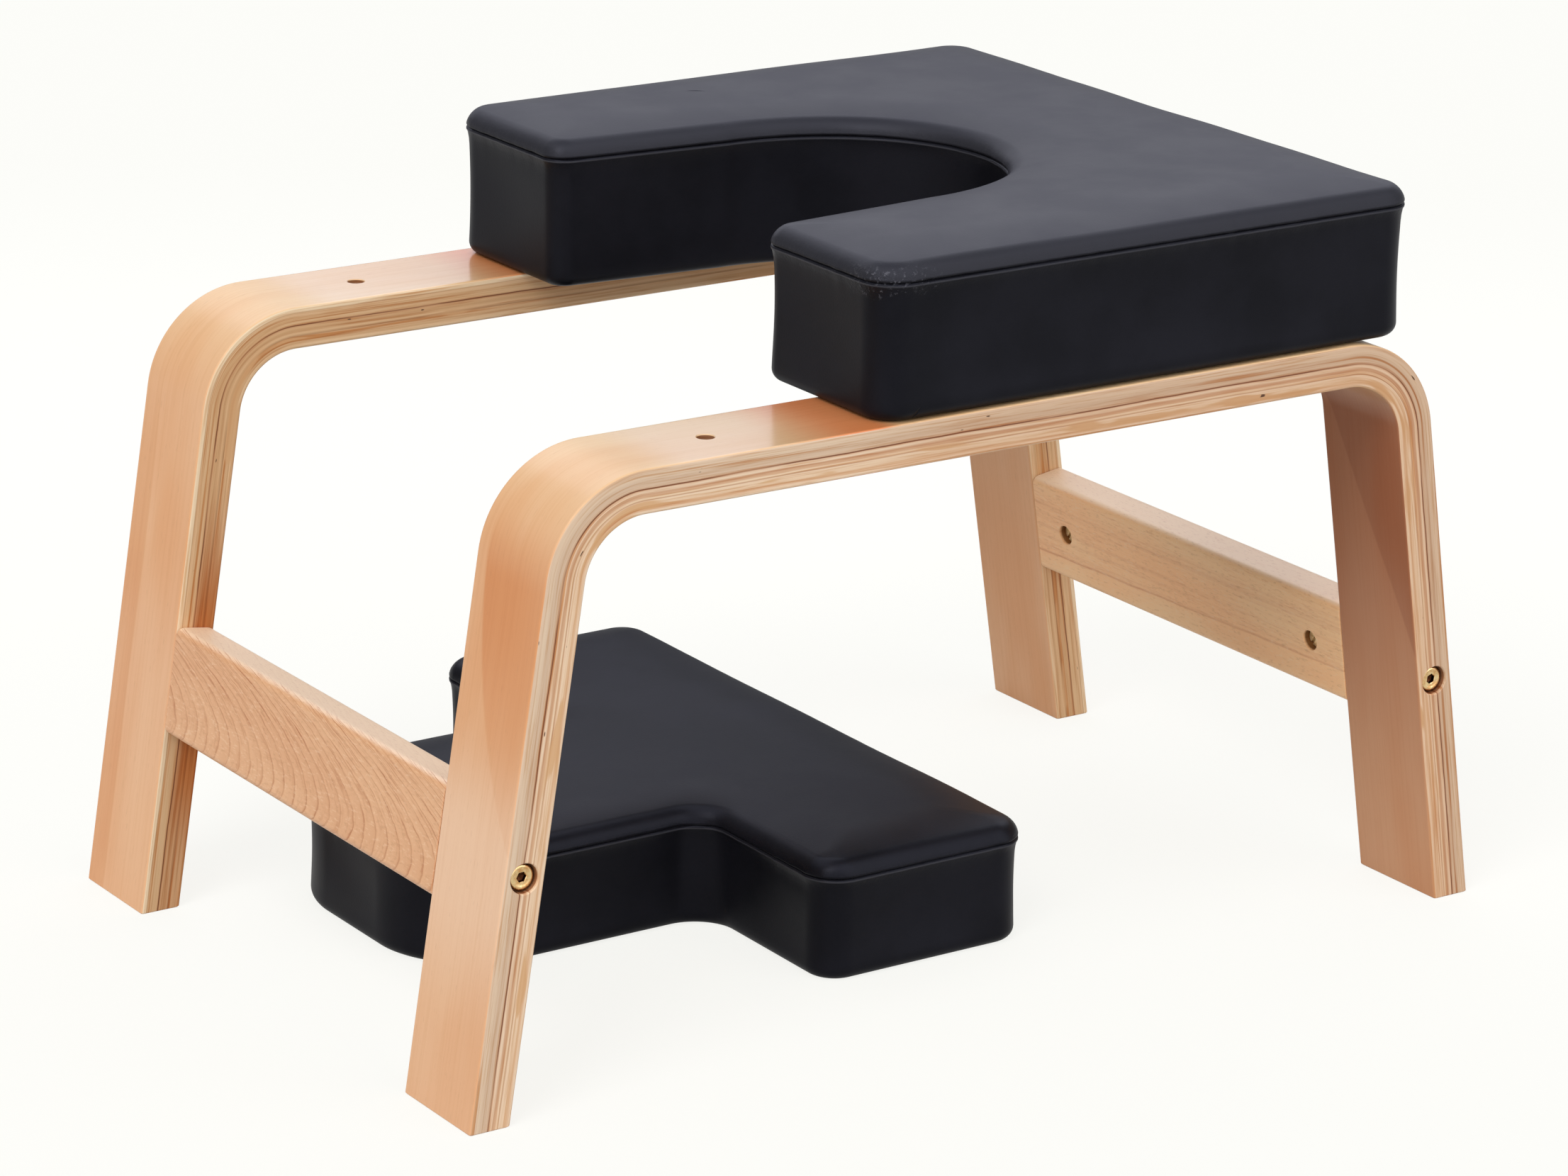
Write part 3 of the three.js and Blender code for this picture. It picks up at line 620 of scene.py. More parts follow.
def mark(recipe, first, second, centre, along, length, width):
    """A small oval falloff on a plane of two coordinates: 1 at the centre and 0 from the
    oval's rim on, with its long axis along the given direction."""
    first, second = first - centre[0], second - centre[1]
    long = first * (along[0] / length) + second * (along[1] / length)
    wide = first * (-along[1] / width) + second * (along[0] / width)
    return recipe.math("SQRT", long * long + wide * wide).span(0.0, 1.0, 1.0, 0.0)


def leather(settings):
    """Black synthetic leather: a fine pebbled grain, with tone and gloss that vary softly. It
    is crimped along the seams, most of all at the shoulder pad's near front corner."""
    recipe = Recipe("black_leather")
    pebbles = {"Vector": recipe.place, "Scale": 1.0 / settings.grain_size}
    relief = recipe.bump(recipe.node("TexVoronoi", pebbles), 0.03 * MM, 0.5)
    fine = recipe.noise(recipe.place, 3, 0.6, 3.0 / settings.grain_size)
    relief = recipe.bump(fine, 0.015 * MM, 0.5, relief)
    broad = recipe.noise(recipe.place, 3, 0.55, 24)
    colour = recipe.mix(broad.span(0.3, 0.7), tuple(settings.leather_colour), srgb(20, 20, 25))

    x, y, z = recipe.split(recipe.place)
    high = z > PAD_BASE / 2
    over_seam = z - high.span(0.0, 1.0, INFILL_SEAM, PAD_BASE + PAD_SEAM, False)
    off_seam = abs(over_seam)
    crimps = recipe.noise(recipe.place, 3, 0.7, 420)
    corner = (PAD_FRONT + 9 * MM, MIDDLE_Y - PAD_HALF + 9 * MM)
    gathered = mark(recipe, x, y, corner, (1.0, 0.0), 34 * MM, 26 * MM) * high
    crimped = off_seam.span(1.5 * MM, 9 * MM, 1.0, 0.0) * (gathered + 0.22) * crimps
    relief = recipe.bump(crimped, 0.9 * MM, 0.8, relief)
    dent = mark(recipe, x, y, (0.040, 0.120), (0.83, -0.557), 6 * MM, 1.8 * MM) * high
    nick = mark(recipe, x, z, (-0.055, 0.303), (0.6, 0.8), 4 * MM, 0.9 * MM)
    marks = dent + nick * (y < MIDDLE_Y - PAD_HALF + 15 * MM) * high
    relief = recipe.bump(marks * -1.0, 0.8 * MM, 1.0, relief)
    colour = colour.toward(marks * 0.6, srgb(6, 6, 8))

    # The lip under each seam gets a painted highlight, and the sharpest of the crimps get painted glints.
    # On the shoulder pad the roll above the seam is painted a little paler, as sheen.
    roll = over_seam.span(0.6 * MM, 2 * MM) * over_seam.span(5.5 * MM, 9 * MM, 1.0, 0.0) * high
    colour = colour.toward(roll * 0.9, srgb(46, 46, 51))
    lip = over_seam.span(-2 * MM, -1.3 * MM) * over_seam.span(-1.2 * MM, -0.7 * MM, 1.0, 0.0)
    colour = colour.toward(lip * 0.5, srgb(80, 80, 86))
    glints = crimps.span(0.56, 0.68) * gathered * off_seam.span(3 * MM, 9 * MM, 1.0, 0.0)
    colour = colour.toward(glints * 0.7, srgb(104, 104, 112))
    return recipe.finish(
        Base_Color=colour, Roughness=broad.span(0.3, 0.7, 0.36, 0.42), Normal=relief,
        Specular_IOR_Level=0.11, Specular_Tint=(0.82, 0.83, 1.0))


def felt():
    """Black non-woven cloth: matted short fibres."""
    recipe = Recipe("black_base_cloth")
    fibres = recipe.noise(recipe.place, 4, 0.7, 1800)
    colour = recipe.mix(fibres.span(0.35, 0.7), srgb(16, 16, 18), srgb(34, 34, 37))
    return recipe.finish(Base_Color=colour, Roughness=0.95, Normal=recipe.bump(fibres, 0.15 * MM, 0.8))


# Side frames.


def strip_stations(leg_steps, bend_steps, top_steps):
    """Stations along a side frame, from the back foot over the top to the front foot: a
    place on the outer face, and the step from it for each metre of depth. On a leg, a
    point at a depth is bend centre + (bend - depth) * outwards + rest * reach(depth) * down,
    where the reach ends on the floor. In the bend it is the same with no reach."""
    outwards = np.array((math.cos(SPLAY), math.sin(SPLAY)))
    down = np.array((math.sin(SPLAY), -math.cos(SPLAY)))
    centre = np.array((BEND_X, BEND_Z))
    reach = (BEND_Z + OUTER_BEND * math.sin(SPLAY)) / math.cos(SPLAY)
    shares = np.concatenate([(0, 0.6 * MM / reach), np.linspace(0, 1, leg_steps + 1)[1:]])
    rest = (1 - shares)[:, None]
    leg = centre + OUTER_BEND * outwards + rest * reach * down
    leg_step = -outwards - rest * math.tan(SPLAY) * down
    angle = np.linspace(SPLAY, np.pi / 2, bend_steps + 1)[1:]
    arc = np.stack([np.cos(angle), np.sin(angle)], axis=-1)
    half = np.concatenate([leg, centre + OUTER_BEND * arc])
    half_step = np.concatenate([leg_step, -arc])
    across = np.linspace(BEND_X, -BEND_X, top_steps + 1)[1:-1]
    top = np.stack([across, np.full_like(across, FRAME_TOP)], axis=-1)
    top_step = np.broadcast_to((0.0, -1.0), top.shape)
    flip = np.array((-1.0, 1.0))
    places = np.concatenate([half, top, half[::-1] * flip])
    steps = np.concatenate([half_step, top_step, half_step[::-1] * flip])
    return places, steps


def joint_point(end, along, y):
    """A point of a leg's joint: the rail's centre, moved along its tilted face."""
    return np.array((end * (RAIL_X - along * math.sin(SPLAY)), y, RAIL_Z + along * math.cos(SPLAY)))


def frame_carvings(side):
    """The holes of one side frame: through the top, and into each leg from both edges."""
    solids = []
    for x, radius in ((FIXING_X, FIXING_HOLE), *((x, BOLT_HOLE) for x in PAD_BOLTS_X)):
        mouth = hole_mouth(radius, 0.35 * MM)
        profile = (*mouth, *((wide, -PLY - height) for wide, height in mouth[::-1]))
        solids.append(turned(profile, (x, side * FRAME_Y + MIDDLE_Y, FRAME_TOP), (0, 0, 1)))
    for end, _ in ENDS:
        outer, inner = (side * (FRAME_Y + edge * STRIP_WIDTH / 2) + MIDDLE_Y for edge in (1, -1))
        profile = (
            *hole_mouth(BOLT_MOUTH, 0.45 * MM), (BOLT_MOUTH, -BOLT_SINK), (BOLT_HOLE, -BOLT_SINK),
            (BOLT_HOLE, -STRIP_WIDTH - CUT_PAST), (0, -STRIP_WIDTH - CUT_PAST))
        solids.append(turned(profile, joint_point(end, 0, outer), (0, side, 0)))
        for along in (-DOWEL_SPREAD, DOWEL_SPREAD):
            profile = plug(DOWEL_HOLE, -CUT_PAST, DOWEL_DEPTH + GAP)
            solids.append(turned(profile, joint_point(end, along, inner), (0, side, 0), 24))
    return joined(*solids)


def side_frame(side, settings):
    """One bent strip: its rounded section carried along the stations, with eased feet."""
    places, steps = strip_stations(14, settings.bend_steps, 24)
    section = rounded_section(PLY, STRIP_WIDTH, settings.arris)
    sections = np.repeat(section[None], len(places), axis=0)
    foot_ease = 1 * MM / np.array((PLY, STRIP_WIDTH))
    sections[[0, -1]] *= 1 - foot_ease
    depth = sections[..., 0] + PLY / 2
    flat = places[:, None] + steps[:, None] * depth[..., None]
    y = sections[..., 1] + side * FRAME_Y + MIDDLE_Y
    rings = np.stack([flat[..., 0], y, flat[..., 1]], axis=-1)
    return capped_skin(rings)


# Rails and their fixings.


def in_rail(end, local):
    """Points of a rail's own frame put in place: turned by the splay about Y, then moved."""
    tilt = -end * SPLAY
    x, y, z = np.moveaxis(np.asarray(local), -1, 0)
    return np.stack([
        end * RAIL_X + x * math.cos(tilt) + z * math.sin(tilt),
        MIDDLE_Y + y,
        RAIL_Z - x * math.sin(tilt) + z * math.cos(tilt)], axis=-1)


def rail_turned(end, profile, centre, axis, sides=48):
    """A turned solid given in a rail's own frame."""
    points, faces = turned(profile, centre, axis, sides)
    return in_rail(end, points), faces


def rail_bar(end, settings):
    """A rail: its rounded section carried straight from leg to leg, with eased ends."""
    section = rounded_section(RAIL_THICKNESS, RAIL_HEIGHT, settings.edge_round, 6, 0.8 * MM)
    ease = 0.4 * MM
    inner = np.linspace(-0.9, 0.9, 9) * RAIL_HALF
    along = np.array((-RAIL_HALF, -RAIL_HALF + ease, *inner, RAIL_HALF - ease, RAIL_HALF))
    shrink = np.ones((len(along), 1, 2))
    shrink[[0, -1]] -= 2 * ease / np.array((RAIL_THICKNESS, RAIL_HEIGHT))
    sections = section[None] * shrink
    y = np.broadcast_to(along[:, None], sections.shape[:2])
    rings = np.stack([sections[..., 0], y, sections[..., 1]], axis=-1)
    return capped_skin(in_rail(end, rings))


def rail_carvings(end):
    """The holes of one rail: for its bolts, barrel nuts and dowels."""
    solids = []
    for side, _ in SIDES:
        face, outwards = side * RAIL_HALF, (0, side, 0)
        profile = plug(BOLT_HOLE, CUT_PAST, BOLT_HOLE_FLOOR)
        solids.append(rail_turned(end, profile, (0, face, 0), outwards, 32))
        profile = (
            *hole_mouth(NUT_HOLE, 0.35 * MM, RAIL_THICKNESS / 2), (NUT_HOLE, NUT_HOLE_FLOOR),
            (0, NUT_HOLE_FLOOR))
        solids.append(rail_turned(end, profile, (0, side * NUT_Y, 0), (-end, 0, 0)))
        for along in (-DOWEL_SPREAD, DOWEL_SPREAD):
            profile = plug(DOWEL_HOLE, CUT_PAST, -DOWEL_DEPTH)
            solids.append(rail_turned(end, profile, (0, face, along), outwards, 24))
    return solids


def hexagon(sides, across_flats):
    """The radius of a hexagon at each of the sides of a turned piece: half its width over
    the cosine of the angle from the nearest flat's middle."""
    angle = np.linspace(0, 2 * np.pi, sides, endpoint=False)
    return across_flats / 2 / np.cos((angle + np.pi / 6) % (np.pi / 3) - np.pi / 6)


def rounded_edge(radius, height, round_by, steps=5):
    """Quarter circle over a head's rim, as (radius, height) points."""
    angle = np.linspace(0, np.pi / 2, steps + 1)
    return [
        (radius - round_by * (1 - math.cos(t)), height - round_by * (1 - math.sin(t)))
        for t in angle]


def rail_bolt(end, side):
    """A connector bolt: shank, low round head, and a hexagon socket in it."""
    sides = 72
    socket = hexagon(sides, SOCKET_FLATS)
    face = ((4.4, 0), (4.1, -0.15), (3.1, -0.15))
    profile = [
        (0, -BOLT_LENGTH), (BOLT_SHANK - 0.4 * MM, -BOLT_LENGTH), (BOLT_SHANK, 0.5 * MM - BOLT_LENGTH),
        (BOLT_SHANK, 0), (HEAD_RADIUS - 0.2 * MM, 0), (HEAD_RADIUS, 0.2 * MM),
        *rounded_edge(HEAD_RADIUS, HEAD_HEIGHT, 1.4 * MM),
        *((radius * MM, HEAD_HEIGHT + height * MM) for radius, height in face),
        (socket + 0.25 * MM, HEAD_HEIGHT - 0.2 * MM), (socket, HEAD_HEIGHT - 0.5 * MM),
        (socket, HEAD_HEIGHT - 2.4 * MM), (socket * 0.5, HEAD_HEIGHT - 2.9 * MM),
        (0, HEAD_HEIGHT - 3 * MM)]
    return rail_turned(end, profile, (0, side * BOLT_SEAT, 0), (0, side, 0), sides)


def barrel_nut(end, side):
    """A barrel nut: a chamfered cylinder, before its bore and slot are cut."""
    chamfer = 0.7 * MM
    rim = ((0, NUT_HALF), (NUT_RADIUS - chamfer, NUT_HALF), (NUT_RADIUS, NUT_HALF - chamfer))
    profile = (*((radius, -height) for radius, height in rim), *rim[::-1])
    return rail_turned(end, profile, (0, side * NUT_Y, 0), (-end, 0, 0), 64)


def nut_carvings(end, side):
    """A barrel nut's bore for its bolt, and the slanted slot across its face."""
    at_nut = (0, side * NUT_Y, 0)
    bore = rail_turned(end, plug(NUT_BORE, -NUT_HALF - MM, NUT_HALF + MM), at_nut, (0, 1, 0), 32)
    signs = np.array([(x, y, z) for x in (-1, 1) for y in (-1, 1) for z in (-1, 1)])
    faces = [[0, 1, 3, 2], [4, 6, 7, 5], [0, 4, 5, 1], [2, 3, 7, 6], [0, 2, 6, 4], [1, 5, 7, 3]]
    corners = np.array((-end * SLOT_OFFSET, 0, 0)) + signs * SLOT_HALF
    slant = np.array(Matrix.Rotation(-end * SLOT_SLANT, 3, "X"))
    return bore, (in_rail(end, corners @ slant.T + at_nut), faces)


# Pads.


def corner_arc(before, at, after, radius, count):
    """The arc that rounds a corner, in the complex plane: its centre lies on the corner's
    bisector, radius / sin(half angle) from the corner."""
    back = (before - at) / abs(before - at)
    ahead = (after - at) / abs(after - at)
    half = np.arccos((np.conj(back) * ahead).real) / 2
    centre = at + (back + ahead) / abs(back + ahead) * radius / np.sin(half)
    start = at + back * radius / np.tan(half) - centre
    end = at + ahead * radius / np.tan(half) - centre
    return centre + start * np.exp(1j * np.angle(end / start) * np.linspace(0, 1, count + 1))


def bowed_edge(start, end, pull, count):
    """Points between two corners, drawn in across the edge by pull * sin(pi * share)."""
    share = np.arange(1, count + 1) / (count + 1)
    inwards = (end - start) / abs(end - start) * 1j
    return start + (end - start) * share + inwards * pull * np.sin(np.pi * share)


def pad_ring(turns, pull, cuts):
    """One closed outline: each turn's points, then the bowed edge to the next turn."""
    return np.concatenate([
        part
        for turn, after, count in zip(turns, turns[1:] + turns[:1], cuts)
        for part in (turn, bowed_edge(turn[-1], after[0], pull, count))])


def shoulder_turns(inset, spacing):
    """The shoulder pad's four corners and its cut-out: two mouth corners and half an
    ellipse, all moved in from the edge by the inset."""
    front, rear, half = PAD_FRONT + inset, PAD_REAR - inset, PAD_HALF - inset
    mouth = MOUTH_HALF + inset
    sweep = np.linspace(np.pi / 2, -np.pi / 2, round(THROAT_ARC / spacing))
    throat = THROAT_X + (THROAT_DEPTH + inset) * np.cos(sweep) + 1j * (THROAT_HALF + inset) * np.sin(sweep)
    outer = [complex(front, -half), complex(rear, -half), complex(rear, half), complex(front, half)]
    radius = max(PAD_CORNER - inset, LEAST_CORNER)
    mouth_radius = max(MOUTH_CORNER - inset, LEAST_CORNER)
    count = round(CORNER_ARC / spacing)
    lips = [complex(front, mouth), complex(front, -mouth)]
    loop = [lips[1], *outer, lips[0]]
    arcs = [corner_arc(loop[i - 1], loop[i], loop[i + 1], radius, count) for i in range(1, 5)]
    first_lip = corner_arc(outer[3], lips[0], throat[0], mouth_radius, count)
    last_lip = corner_arc(throat[-1], lips[1], outer[0], mouth_radius, count)
    return [*arcs, first_lip, throat, last_lip]


def infill_turns(inset, spacing):
    """The infill pad's eight corners, moved in by the inset: four of the bar, two where
    the stem leaves it, and two at the stem's end."""
    front, rear, half = BAR_FRONT + inset, BAR_REAR - inset, BAR_HALF - inset
    stem, tip = STEM_HALF - inset, STEM_TIP + inset
    outer = max(INFILL_CORNER - inset, LEAST_CORNER)
    inner = INFILL_CORNER + inset
    end = max(STEM_ROUND - inset, LEAST_CORNER)
    corners = (
        (front, -half, outer), (rear, -half, outer), (rear, half, outer), (front, half, outer),
        (front, stem, inner), (tip, stem, end), (tip, -stem, end), (front, -stem, inner))
    places = [complex(x, BAR_Y + y) for x, y, _ in corners]
    arcs = (CORNER_ARC,) * 5 + (STEM_ARC,) * 2 + (CORNER_ARC,)
    counts = [round(arc / spacing) for arc in arcs]
    return [
        corner_arc(places[i - 1], places[i], places[(i + 1) % 8], corners[i][2], counts[i])
        for i in range(8)]


def dome(inset):
    """The crown's slow rise: a parabola that is level from the dome's reach on."""
    return DOME_HEIGHT * (1 - (1 - np.minimum(inset / DOME_REACH, 1)) ** 2)


def pad_profile(seam, groove):
    """The pad's section as rows of inset, height and pull, from the roof of the board's
    pocket, under the board's edge, round the bottom, up the drawn-in band, over the seam's
    groove and in over the crown. The band's inset swells as sin(pi * share of its height)."""
    pocket = [
        (BOARD_POCKET, POCKET_ROOF, 0), (BOARD_POCKET, COVER + 0.3 * MM, 0), (BOARD_POCKET, COVER, 0),
        (COVER_WRAP - 0.1 * MM, COVER, 0), (COVER_WRAP, COVER - 0.1 * MM, 0), (COVER_WRAP, 0.1 * MM, 0),
        (COVER_WRAP - 0.1 * MM, 0, 0)]
    t = np.linspace(0, np.pi / 2, 9)
    bottom = np.stack([
        BAND_INSET + BOTTOM_ROUND * (1 - np.sin(t)), BOTTOM_ROUND * (1 - np.cos(t)), 0 * t], axis=-1)
    height = np.linspace(BOTTOM_ROUND, seam - 2.6 * MM, 18)[1:]
    share = (height - BOTTOM_ROUND) / (seam - BOTTOM_ROUND)
    rise = np.clip((height - (seam - BAND_ROLL)) / BAND_ROLL, 0, 1)
    band = np.stack([
        BAND_INSET * (1 - rise ** 2) + BAND_DRAW * np.sin(np.pi * share), height,
        BAND_PULL * np.sin(np.pi * share)], axis=-1)
    lips = np.array([
        (0.10, -1.7), (0.02, -1.2), (0.12, -0.75), (0.42, -0.42), (0.75, -0.22), (1.0, 0.0),
        (0.75, 0.22), (0.40, 0.45), (0.14, 0.85), (0.10, 1.4)]) * MM
    lips[:, 0] *= np.where(np.abs(lips[:, 1]) < 1 * MM, groove / MM, 1)
    seam_rows = np.stack([lips[:, 0], seam + lips[:, 1], 0 * lips[:, 0]], axis=-1)
    t = np.linspace(0.22, np.pi / 2, 15)
    inset = ROLL_REACH * (1 - np.cos(t))
    roll = np.stack([inset, seam + (ROLL_HEIGHT + dome(inset)) * np.sin(t), 0 * t], axis=-1)
    inset = np.concatenate([
        np.linspace(ROLL_REACH, DOME_REACH, 9)[1:], DOME_REACH + np.array((3, 6)) * MM])
    crown = np.stack([inset, seam + ROLL_HEIGHT + dome(inset), 0 * inset], axis=-1)
    return np.concatenate([pocket, bottom, band, seam_rows, roll, crown])


def ripple(seed, places, longest, shortest, waves=14):
    """A smooth wandering value of about -1 to 1 at each place: a sum of sine waves of
    seeded random direction, phase and length."""
    rng = np.random.default_rng(seed)
    value = np.zeros(places.shape[:-1])
    for _ in range(waves):
        heading = rng.normal(size=3)
        heading /= np.linalg.norm(heading)
        length = longest * (shortest / longest) ** rng.random()
        value += np.sin(places @ heading * 2 * np.pi / length + rng.random() * 2 * np.pi)
    return value / math.sqrt(waves)


def inside(points, outline):
    """Which points lie inside an outline, by counting the edges that a level ray crosses."""
    x, y = points.real[:, None], points.imag[:, None]
    start, end = outline, np.roll(outline, -1)
    crosses = (start.imag > y) != (end.imag > y)
    with np.errstate(divide="ignore", invalid="ignore"):
        at = start.real + (y - start.imag) * (end.real - start.real) / (end.imag - start.imag)
    return (crosses & (x < at)).sum(axis=1) % 2 == 1


def cap(outline, guard, spacing):
    """Triangles over an outline, with a grid of points inside the guard outline. Returns
    the new points, and faces numbered with the outline's points first."""
    if spacing:
        low = complex(outline.real.min(), outline.imag.min())
        high = complex(outline.real.max(), outline.imag.max())
        columns, rows = np.arange(low.real, high.real, spacing), np.arange(low.imag, high.imag, spacing)
        grid = (columns[:, None] + 1j * rows).ravel()
        grid = grid[inside(grid, guard)]
    else:
        grid = np.zeros(0, dtype=complex)
    places = np.concatenate([outline, grid])
    count = len(outline)
    edges = [(i, (i + 1) % count) for i in range(count)]
    points = [Vector((place.real, place.imag)) for place in places]
    _, _, faces, origins, _, _ = delaunay_2d_cdt(points, edges, [], 1, 1e-9)
    return grid, [[origins[corner][0] for corner in face] for face in faces]


def pad_solid(turns_at, base, seam, settings, seed):
    """A whole cushion as one closed skin: a ring for each row of the profile, softened by
    wandering dents and puckers, and closed by a cap over the crown and one in the pocket."""
    spacing = settings.mesh_size
    rows = pad_profile(seam, settings.seam_depth)
    edge_turns = turns_at(0.0, spacing)
    cuts = [
        max(0, round(abs(after[0] - turn[-1]) / spacing) - 1)
        for turn, after in zip(edge_turns, edge_turns[1:] + edge_turns[:1])]
    flat = np.array([pad_ring(turns_at(inset, spacing), pull, cuts) for inset, _, pull in rows])
    heights = np.broadcast_to(rows[:, 1][:, None], flat.shape)
    rings = np.stack([flat.real, flat.imag, heights], axis=-1)

    # Outward directions from the steps along and across the rings.
    along = np.roll(rings, -1, axis=1) - np.roll(rings, 1, axis=1)
    up = np.gradient(rings, axis=0)
    outward = np.cross(along, up)
    outward /= np.linalg.norm(outward, axis=-1, keepdims=True) + 1e-12

    seam_row = int(np.argmin(np.abs(rows[:, 1] - seam) + (rows[:, 0] > 3 * MM)))
    from_seam = np.cumsum(np.hypot(np.gradient(rows[:, 0]), np.gradient(rows[:, 1])))
    from_seam = np.abs(from_seam - from_seam[seam_row])[:, None]
    at_seam = rings[seam_row][None]
    pucker = ripple(seed, at_seam, 24 * MM, 6 * MM, 18)
    pleat = np.clip(ripple(seed + 1, at_seam, 60 * MM, 20 * MM), 0, 2)
    dents = ripple(seed + 2, rings, *DENT_WAVES)
    loose = np.clip((heights - BOTTOM_ROUND) / (10 * MM), 0, 1)
    push = settings.softness * (
        DENT_HEIGHT * dents * np.clip(from_seam / (12 * MM), 0, 1)
        + (0.20 * pucker + 0.12 * pleat * pucker) * np.exp(-from_seam / (4.5 * MM)))
    rings = rings + outward * (push * loose)[..., None]

    top, top_faces = cap(flat[-1], pad_ring(turns_at(rows[-1, 0] + 2.2 * MM, spacing), 0, cuts), 5 * MM)
    _, pocket_faces = cap(flat[0], None, 0)
    count = flat.shape[1]
    last = (len(rings) - 1) * count
    crown = np.stack([top.real, top.imag, np.full(len(top), rows[-1, 1])], axis=-1)
    crown[:, 2] += settings.softness * DENT_HEIGHT * ripple(seed + 2, crown, *DENT_WAVES)
    points = np.concatenate([rings.reshape(-1, 3), crown])
    points += (0, MIDDLE_Y, base)
    faces = ring_faces(len(rings), count).tolist() + pocket_faces
    faces += [[corner + last for corner in face] for face in top_faces]
    return points, faces


# Settings that a user would change.


class FrameSettings(bpy.types.PropertyGroup):
    arris: bpy.props.FloatProperty(
        name="Arris", description="Rounding of the strip's long edges", default=1.2 * MM, unit="LENGTH")
    bend_steps: bpy.props.IntProperty(
        name="Bend steps", description="Stations round each bend", default=28, min=6)
    top_colour: bpy.props.FloatVectorProperty(
        name="Top", description="Colour of the level faces", subtype="COLOR",
        default=srgb(238, 203, 157))
    veneer_colour: bpy.props.FloatVectorProperty(
        name="Veneer", description="Colour of the legs' broad faces", subtype="COLOR",
        default=srgb(235, 184, 140))
    tongue_colour: bpy.props.FloatVectorProperty(
        name="Tongues", description="Darker figure in the veneer", subtype="COLOR",
        default=srgb(220, 148, 94))


class RailSettings(bpy.types.PropertyGroup):
    edge_round: bpy.props.FloatProperty(
        name="Edge round", description="Rounding of a rail's long edges", default=4 * MM, unit="LENGTH")
    ring_spacing: bpy.props.FloatProperty(
        name="Ring spacing", description="Distance between growth rings", unit="LENGTH",
        default=11 * MM)
    light_colour: bpy.props.FloatVectorProperty(
        name="Light wood", description="Early wood of the rails", subtype="COLOR",
        default=srgb(234, 183, 139))
    ring_colour: bpy.props.FloatVectorProperty(
        name="Rings", description="Late wood of the rails", subtype="COLOR",
        default=srgb(184, 108, 58))
    brass_colour: bpy.props.FloatVectorProperty(
        name="Brass", description="Colour of bolts and barrel nuts", subtype="COLOR",
        default=srgb(238, 210, 156))


class PadSettings(bpy.types.PropertyGroup):
    mesh_size: bpy.props.FloatProperty(
        name="Mesh size", description="Spacing of points round a pad", default=2.0 * MM, unit="LENGTH")
    seam_depth: bpy.props.FloatProperty(
        name="Seam depth", description="Depth of the seam's groove", default=1.0 * MM, unit="LENGTH")
    softness: bpy.props.FloatProperty(
        name="Softness", description="Height of the dents and puckers", default=0.8 * MM, unit="LENGTH")
    grain_size: bpy.props.FloatProperty(
        name="Grain size", description="Size of the leather's pebbles", default=0.9 * MM, unit="LENGTH")
    leather_colour: bpy.props.FloatVectorProperty(
        name="Leather", description="Colour of the covers", subtype="COLOR", default=srgb(14, 14, 18))


class StageSettings(bpy.types.PropertyGroup):
    floor_colour: bpy.props.FloatVectorProperty(
        name="Floor", description="Colour of the floor as the camera sees it", subtype="COLOR",
        default=srgb(253, 253, 249))
    key_strength: bpy.props.FloatProperty(
        name="Key light", description="Strength of the main lamp", default=1.3, min=0)
    side_strength: bpy.props.FloatProperty(
        name="Side light", description="Strength of the low lamp from the front", default=0.7, min=0)
    softbox_power: bpy.props.FloatProperty(
        name="Softbox power", description="Watts of the panel behind the stool", default=5.6, min=0)
    softbox_width: bpy.props.FloatProperty(
        name="Softbox width", description="Width of the panel", default=2.0, unit="LENGTH")
    softbox_height: bpy.props.FloatProperty(
        name="Softbox height", description="Height of the panel", default=0.8, unit="LENGTH")
    softbox_bottom: bpy.props.FloatProperty(
        name="Softbox bottom", description="Height of its lower edge", default=0.47, unit="LENGTH")
    sheen_power: bpy.props.FloatProperty(
        name="Sheen power", description="Watts of the panel that only shiny pieces see", default=7.5, min=0)
    fill_strength: bpy.props.FloatProperty(
        name="Fill light", description="Strength of the lamp from the near right", default=0.9, min=0)
    sky_strength: bpy.props.FloatProperty(
        name="Sky", description="Strength of the surrounding light", default=0.38, min=0)


# Operators, one for each piece or group of like pieces.


class StoolSideFrames(bpy.types.Operator):
    """Bend the two plywood side frames"""
    bl_idname = "stool.side_frames"
    bl_label = "Side frames"

    def execute(self, context):
        settings = context.scene.stool_frame
        wood = plywood(settings)
        for side, name in SIDES:
            made = make_object(f"{name}_bent_frame", side_frame(side, settings))
            carve(made, frame_carvings(side))
            dress(made, wood, "stool", [f"{name}_side_frame"], 32)
        return {"FINISHED"}


class StoolRails(bpy.types.Operator):
    """Shape the two solid rails between the frames"""
    bl_idname = "stool.rails"
    bl_label = "Rails"

    def execute(self, context):
        settings = context.scene.stool_rail
        for end, name in ENDS:
            wood = beech(settings, f"{name}_rail_beech", end)
            made = make_object(f"{name}_rail_bar", rail_bar(end, settings))
            for solid in rail_carvings(end):
                carve(made, solid)
            dress(made, wood, "stool", [f"{name}_rail"], 32)
        return {"FINISHED"}


